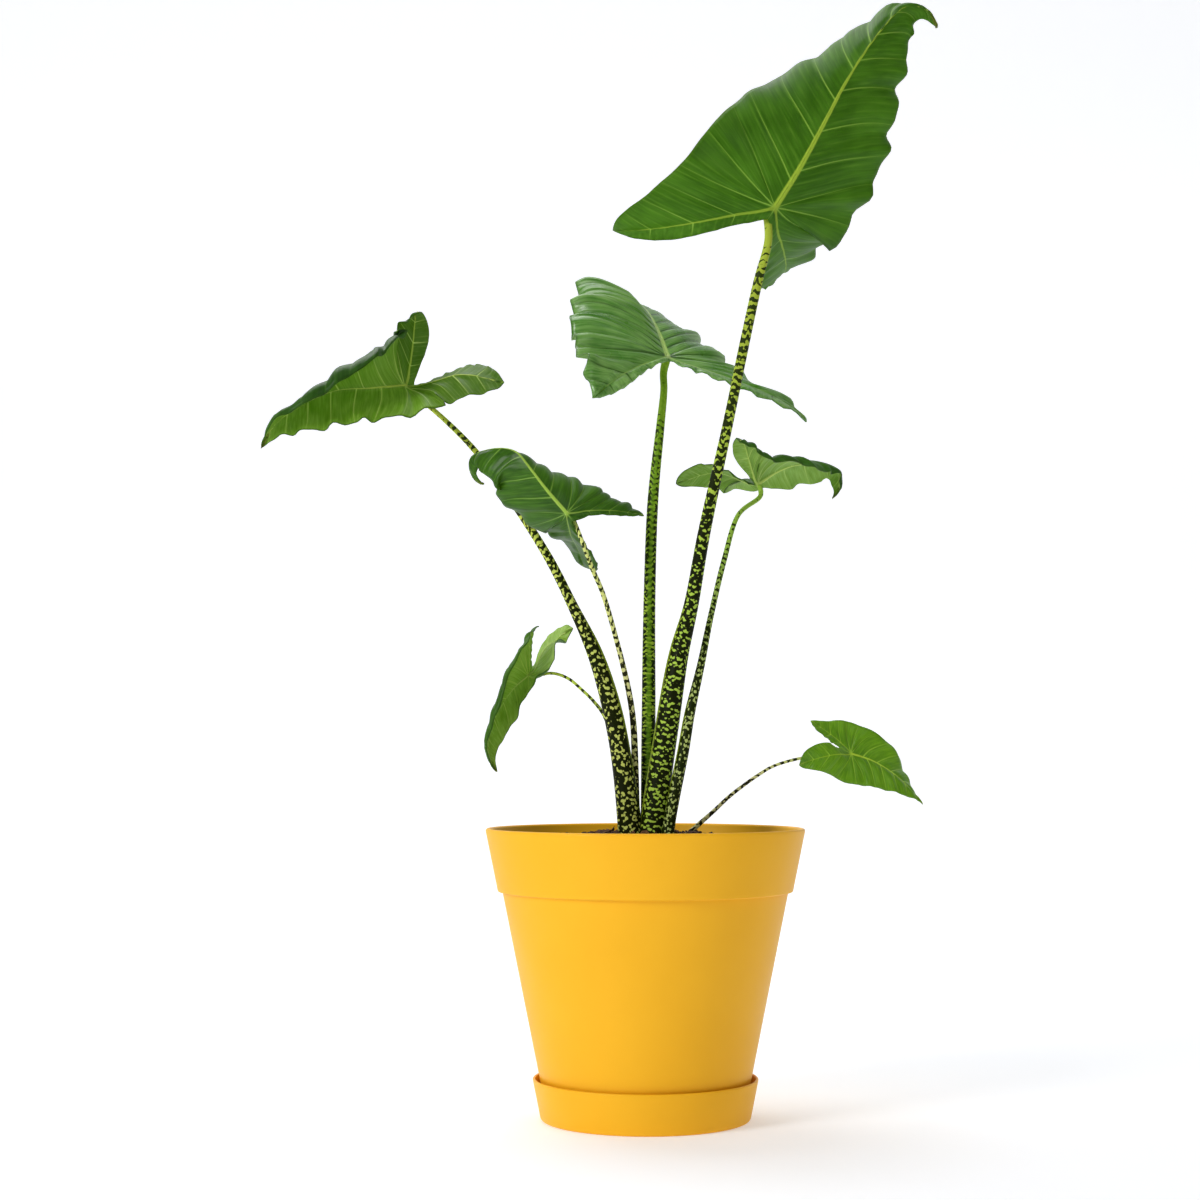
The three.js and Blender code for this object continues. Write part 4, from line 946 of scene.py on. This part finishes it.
# Waxy cuticle of a living leaf: deep green, paler by the veins, with a soft broad shine. Painted shade can
# darken the lobes, and the sunken side veins of one face. A third of the light goes through, so that a
# face turned away from the lamps glows yellow-green.
def leaf_skin(name, tip, deep, light, rib, side, edge, rough, shine, side_share=0.6, lobe_painted_shade=0.0):
    material, add = new_material(name)
    place = add("TexCoord", out="Object")
    laid = add("UVMap", uv_map="veins")
    row, out, _ = add("SeparateXYZ", [laid]).node.outputs
    to_rib, to_vein, _ = add("SeparateXYZ", [add("UVMap", uv_map="ribs")]).node.outputs
    # Clouds of tone about 35 mm wide, and streaks that follow the side veins
    cloud = add("TexNoise", {"Vector": place, "Scale": 28, "Detail": 3})
    along = add("Mapping", {"Vector": laid, "Scale": (14, 2.2, 1)})
    streak = add("TexNoise", {"Vector": along, "Scale": 1, "Detail": 3})
    tone = add("Math", [streak, 0.7, add("Math", [cloud, 0.6], **TIMES)], **PLUS)
    # Five fine side veins run between two main ones
    drift = add("Math", [cloud, 2.5, add("Math", [row, 5 * TURN], **TIMES)], **PLUS)
    fine = add("Math", [drift], operation="COSINE")
    faint = add("MapRange", [streak, 0.4, 0.64, 0.02, 0.13], **EASED)
    # Main side veins fade towards the margin, and the ribs are duller in the lobes
    fading = add("MapRange", [out, 0.1, 1.0, side_share, side_share * 0.45], **EASED)
    full = add("MapRange", [row, 3.5, 6.5, 0.6, 1.0], **EASED)
    colour = deep
    for share, paint in (
        (add("MapRange", [tone, 0.42, 0.92], **EASED), light),
        # Painted shade: the lobes darken towards a deep green, as far as the last value of the skin asks
        (add("MapRange", [row, 2.5, 5.5, lobe_painted_shade, 0.0], **EASED), "#2E500A"),
        # Side veins take the side colour; on the middle leaf's upper face it is nearly black, painted
        # shade in the sunken grooves
        (add("Math", [add("MapRange", [fine, 0.3, 1.0], **EASED), faint], **TIMES), side),
        (add("Math", [fading, add("MapRange", [to_vein, 0.6, 1.9, 1.0, 0.0], **EASED)], **TIMES), side),
        (add("MapRange", [to_rib, 0.7, 1.25, full, 0.0], **EASED), rib),
        # The tip dries a little, and the margin has its own colour
        (add("MapRange", [row, tip - 0.9, tip + 0.1, 0.0, 0.8], **EASED), "#8C8434"),
        (add("MapRange", [out, 0.97, 1.0, 0.0, 0.7], **EASED), edge),
    ):
        colour = add("Mix", {0: share, 6: colour, 7: paint}, **COLOURS)
    # Cells of the skin, drawn 2.4 mm wide so that they show
    cells = add("TexNoise", {"Vector": place, "Scale": 420, "Detail": 2})
    height = add("Math", [fine, -0.22, add("Math", [cells, 0.6], **TIMES)], **PLUS)
    skin = add("BsdfPrincipled", {
        "Base Color": colour, "IOR": 1.45, "Specular IOR Level": shine,
        "Roughness": add("MapRange", [cloud, 0.3, 0.7, rough - 0.04, rough + 0.06], **EASED),
        "Normal": add("Bump", {"Height": height, "Strength": 0.3, "Distance": 0.0004}),
    })
    glow = add("Mix", {0: 0.35, 6: "#B4E61E", 7: colour}, **COLOURS)
    add("OutputMaterial", [add("MixShader", [0.33, skin, add("BsdfTranslucent", {"Color": glow})])])
    return material


# Skin of a zebrina's stalk: smooth and waxy, nearly black green with pale marks in wavy rows.
def stalk_skin(name, looks, sheath_colour):
    material, add = new_material(name)
    unrolled = add("Attribute", out="Vector", attribute_name="unrolled")
    facts = add("Attribute", out="Vector", attribute_name="height_sheath")
    height, sheath, facing = add("SeparateXYZ", [facts]).node.outputs
    slow = add("Mapping", {"Vector": unrolled, "Scale": (0.2, 0.2, 0.03)})
    sway = add("TexNoise", {"Vector": slow, "Scale": 1.0, "Detail": 1.5})
    wobble = add("TexNoise", {"Vector": unrolled, "Scale": 0.55, "Detail": 1}, "Color")
    place = add("VectorMath", [wobble, (1.8, 1.8, 1.8), unrolled], **PLUS)
    along = add("SeparateXYZ", [unrolled]).node.outputs[2]
    fields = []
    for (width, tall), spacing, weight in zip(looks["mark"], looks["row"], (-0.15, -0.22)):
        waved = add("Math", [sway, spacing * 2.6, along], **PLUS)
        row = add("Math", [add("Math", [waved, TURN / spacing], **TIMES)], operation="COSINE")
        size = add("Mapping", {"Vector": place, "Scale": (1 / width, 1 / width, 1 / tall)})
        marks = add("TexVoronoi", {"Vector": size, "Scale": 1.0})
        fields.append(add("Math", [row, weight, marks], **PLUS))
    # The nearest mark's centre lies within 0.3 to 0.8 of a mark's own room, so the pale share sets the cut
    cover = add("Math", [add("ValToRGB", [height], stops=looks["cover"]), 0.5, 0.19], **PLUS)
    share = add("Math", [sway, 0.22, cover], **PLUS)
    upper = add("MapRange", [height, 0.35, 0.6], **EASED)
    far = add("Mix", {0: upper, 2: fields[0], 3: fields[1]})
    pale = add("MapRange", [add("Math", [share, far], operation="SUBTRACT"), -0.04, 0.05], **EASED)
    upper = add("MapRange", [height, 0.3, 0.85], **EASED)
    bright = add("Mix", {0: upper, 6: looks["low"], 7: looks["high"]}, **COLOURS)
    upper = add("MapRange", [height, 0.4, 0.9], **EASED)
    dark = add("Mix", {0: upper, 6: looks["dark"], 7: "#2B380C"}, **COLOURS)
    colour = add("Mix", {0: pale, 6: dark, 7: bright}, **COLOURS)
    # The thin sheath edge is one green, with a ragged border
    ragged = add("MapRange", [add("Math", [pale, 0.3, sheath], **PLUS), 0.6, 0.95, 0.0, 0.85], **EASED)
    colour = add("Mix", {0: ragged, 6: colour, 7: sheath_colour}, **COLOURS)
    if looks["stripe"]:
        ragged = add("Math", [row, 0.05, facing], **PLUS)
        ragged = add("MapRange", [ragged, 0.86, 1.0, 0.0, 0.72], **EASED)
        colour = add("Mix", {0: ragged, 6: colour, 7: looks["stripe"]}, **COLOURS)
    grain = add("Mapping", {"Vector": unrolled, "Scale": (1.6, 1.6, 0.05)})
    grain = add("TexNoise", {"Vector": grain, "Scale": 1.0, "Detail": 2})
    skin = add("BsdfPrincipled", {
        "Base Color": colour, "Roughness": 0.42, "IOR": 1.45, "Specular IOR Level": 0.08,
        "Normal": add("Bump", {"Height": grain, "Strength": 0.3, "Distance": 0.0006}),
    })
    add("OutputMaterial", [skin])
    return material


# Polypropylene, injection moulded and dyed through: a satin skin with a faint orange-peel.
def moulded_plastic(name, colour, deep):
    material, add = new_material(name)
    place = add("TexCoord", out="Object")
    cloud = add("TexNoise", {"Vector": place, "Scale": 14, "Detail": 4})
    tone = add("MapRange", [cloud, 0.35, 0.75, 0.0, 0.35])
    peel = add("TexNoise", {"Vector": place, "Scale": 900, "Detail": 2})
    plastic = add("BsdfPrincipled", {
        "Base Color": add("Mix", {0: tone, 6: colour, 7: deep}, **COLOURS), "IOR": 1.49,
        "Specular IOR Level": 0.2, "Roughness": add("MapRange", [cloud, 0.3, 0.7, 0.42, 0.5]),
        "Normal": add("Bump", {"Height": peel, "Strength": 0.06, "Distance": 0.0003}),
    })
    add("OutputMaterial", [plastic])
    return material


# Peat and bark potting mix, damp: dull, nearly black brown with paler fibres.
def potting_mix(name, dark, pale, share):
    material, add = new_material(name)
    place = add("TexCoord", out="Object")
    crumbs = add("TexNoise", {"Vector": place, "Scale": 260, "Detail": 5, "Roughness": 0.7})
    tone = add("MapRange", [crumbs, 0.4, 0.75, 0.0, share])
    crumb = add("BsdfPrincipled", {
        "Base Color": add("Mix", {0: tone, 6: dark, 7: pale}, **COLOURS), "Roughness": 0.92,
        "Normal": add("Bump", {"Height": crumbs, "Strength": 0.8, "Distance": 0.0015}),
    })
    add("OutputMaterial", [crumb])
    return material


# White paper, rolled down behind the plant. It glows with painted light, more the further back it lies.
def studio_paper(name):
    material, add = new_material(name)
    depth = add("SeparateXYZ", [add("TexCoord", out="Object")]).node.outputs[1]
    skin = add("BsdfPrincipled", {
        "Base Color": "#EAECF0", "Roughness": 0.9, "Specular IOR Level": 0.1, "Emission Color": "#FFFFFF",
        # Painted glow: the paper emits 0.29 at the front of the floor, rising to 0.5 up the wall
        "Emission Strength": add("MapRange", [depth, -0.1, 2.2, 0.29, 0.5], **EASED),
    })
    add("OutputMaterial", [skin])
    return material


# The plant

# Each pair is the upper face and the underside: deep, light, ribs, side veins, edge, roughness, shine,
# how strongly the side veins show and, for one, how much painted shade darkens its lobes.
LEAF_SKINS = {
    "top": (("#2A5406", "#50801E", "#B6D044", "#9CC44C", "#4E6C16", 0.42, 0.18, 0.8),
            ("#4A7420", "#6A9436", "#B2CC5C", "#9CBC54", "#5F7E2A", 0.5, 0.2, 0.8)),
    # The middle leaf's upper face has nearly black side veins: painted shade in their sunken grooves
    "middle": (("#387A18", "#9ECA70", "#C4E07C", "#103A04", "#2A5216", 0.3, 0.85, 0.95),
               ("#5C8E2C", "#7CA848", "#B4D060", "#A2C45C", "#6A8C32", 0.5, 0.25, 0.8)),
    "left": (("#1E400B", "#3E6A24", "#8FB03E", "#658C34", "#30500F", 0.38, 0.25, 0.8),
             ("#66961E", "#A0C852", "#E6F870", "#D4EC7C", "#6A9024", 0.46, 0.3, 0.9, 0.75)),
    "mid_left": (("#1F4704", "#4E7E1E", "#B8DA58", "#94BE4E", "#36580C", 0.36, 0.28, 0.8),
                 ("#4A7018", "#6C9034", "#B0CC5C", "#9EBC54", "#527414", 0.5, 0.2, 0.8)),
    "right": (("#1E400B", "#3E6A24", "#8FB03E", "#658C34", "#30500F", 0.38, 0.25, 0.8),
              ("#74A030", "#A6CC68", "#E0F480", "#CEE67C", "#5C8218", 0.48, 0.3, 0.8)),
    "low_left": (("#2A500A", "#4A761E", "#9EBE3E", "#70983A", "#3A5E10", 0.4, 0.25, 0.8),
                 ("#84AE2C", "#B8DC66", "#ECF890", "#D2E874", "#6A8E1C", 0.48, 0.3, 0.9)),
    "low_right": (("#528404", "#86B81E", "#CCE83E", "#B6DC46", "#5E8A10", 0.36, 0.4, 0.9),
                  ("#5C8A16", "#78A62C", "#B4D450", "#A4C84A", "#668E1A", 0.5, 0.2, 0.8)),
}
for key, leaf in LEAVES.items():
    looks = {**COMMON_LOOKS, **LEAF_LOOKS[key]}
    tip = LOBE_VEINS + FAN_VEINS + 1 + len(looks["laterals"][0])
    faces = zip(("upper", "under"), LEAF_SKINS[key])
    blade(key, leaf, looks, *[leaf_skin(f"cuticle_{face}_{key}", tip, *skin) for face, skin in faces])
for key, values in STALKS.items():
    stalk(key, values, LEAVES[key], stalk_skin(f"stalk_skin_{key}", STALK_LOOKS[key], "#869A1C"))

yellow = moulded_plastic("polypropylene_moulded_yellow", "#F9BA1F", "#F0AE17")
pot(yellow)
saucer(yellow)
peat = potting_mix("peat_and_bark_mix_damp", "#1F150D", "#5B4029", 0.8)
bark = potting_mix("pine_bark_chips", "#3A2414", "#7A5535", 0.9)
soil(peat)
scattered("bark_chips", 260, (1.5, 5.5), 0.4, bark, 5)
scattered("peat_crumbs", 420, (0.8, 2.4), 0.8, peat, 7)
dry = potting_mix("old_sheath_dried", "#4A2E16", "#9A6E3E", 0.9)
scattered("dried_sheaths", 16, (3.0, 7.0), 0.16, dry, 11, 0.19, 0.25, 0.9)
corm_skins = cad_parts["corm"].data.materials
corm_skins.clear()
corm_skins.append(potting_mix("corm_skin_dried", "#4A3220", "#8A6844", 0.8))


# Studio: a pale floor that rises into a pale wall, soft lights and the camera at the photo's place.
# Sizes here are in metres.

FLOOR_FRONT, FLOOR_BACK, FLOOR_HALF = -3.5, 1.6, 5
WALL_ROUND, WALL_TOP = 1.4, 5.0


def studio():
    line = [(FLOOR_FRONT, 0), (FLOOR_BACK, 0)]
    for a in np.linspace(0.1, math.pi / 2, 12):
        line.append((FLOOR_BACK + WALL_ROUND * math.sin(a), WALL_ROUND - WALL_ROUND * math.cos(a)))
    line.append((FLOOR_BACK + WALL_ROUND, WALL_TOP))
    points = [(x, y, z) for y, z in line for x in (-FLOOR_HALF, FLOOR_HALF)]
    mesh = bpy.data.meshes.new("studio_floor")
    mesh.from_pydata(points, [], [(2 * i, 2 * i + 1, 2 * i + 3, 2 * i + 2) for i in range(len(line) - 1)])
    floor = new_object("studio_floor", mesh)
    only(floor)
    bpy.ops.object.shade_smooth()
    mesh.materials.append(studio_paper("paper_white_matt_painted_glow"))


def soft_light(name, place, aim, size, power):
    lamp = bpy.data.lights.new(name, "AREA")
    lamp.shape = "DISK"
    lamp.size = size
    lamp.energy = power
    holder = new_object(name, lamp)
    holder.location = place
    holder.rotation_euler = (Vector(aim) - Vector(place)).to_track_quat("-Z", "Y").to_euler()


studio()
soft_light("window_left", (-1.85, -1.65, 1.35), (0, 0, 0.35), 1.0, 36)
soft_light("sky_above", (-0.5, 0.7, 2.2), (0, 0, 0.45), 1.6, 22)
soft_light("fill_right", (1.1, -1.5, 2.0), (0, 0, 0.3), 1.2, 6)

AIR_LIGHT = 0.26
world = bpy.data.worlds.new("studio_air")
world.use_nodes = True
world.node_tree.nodes["Background"].inputs[0].default_value = linear("#FFFFFF")
world.node_tree.nodes["Background"].inputs[1].default_value = AIR_LIGHT
bpy.context.scene.world = world
bpy.context.scene.view_settings.view_transform = "Standard"

# Place and pitch were worked out from the ellipses of the rim and the saucer in the photo
CAMERA_PLACE, CAMERA_PITCH = (-0.0354, -1.708, 0.283), 4.06
lens = bpy.data.cameras.new("camera")
lens.lens = 65
lens.sensor_width = 36
camera = new_object("camera", lens)
camera.location = CAMERA_PLACE
camera.rotation_euler = (math.radians(90 + CAMERA_PITCH), 0, 0)
bpy.context.scene.camera = camera
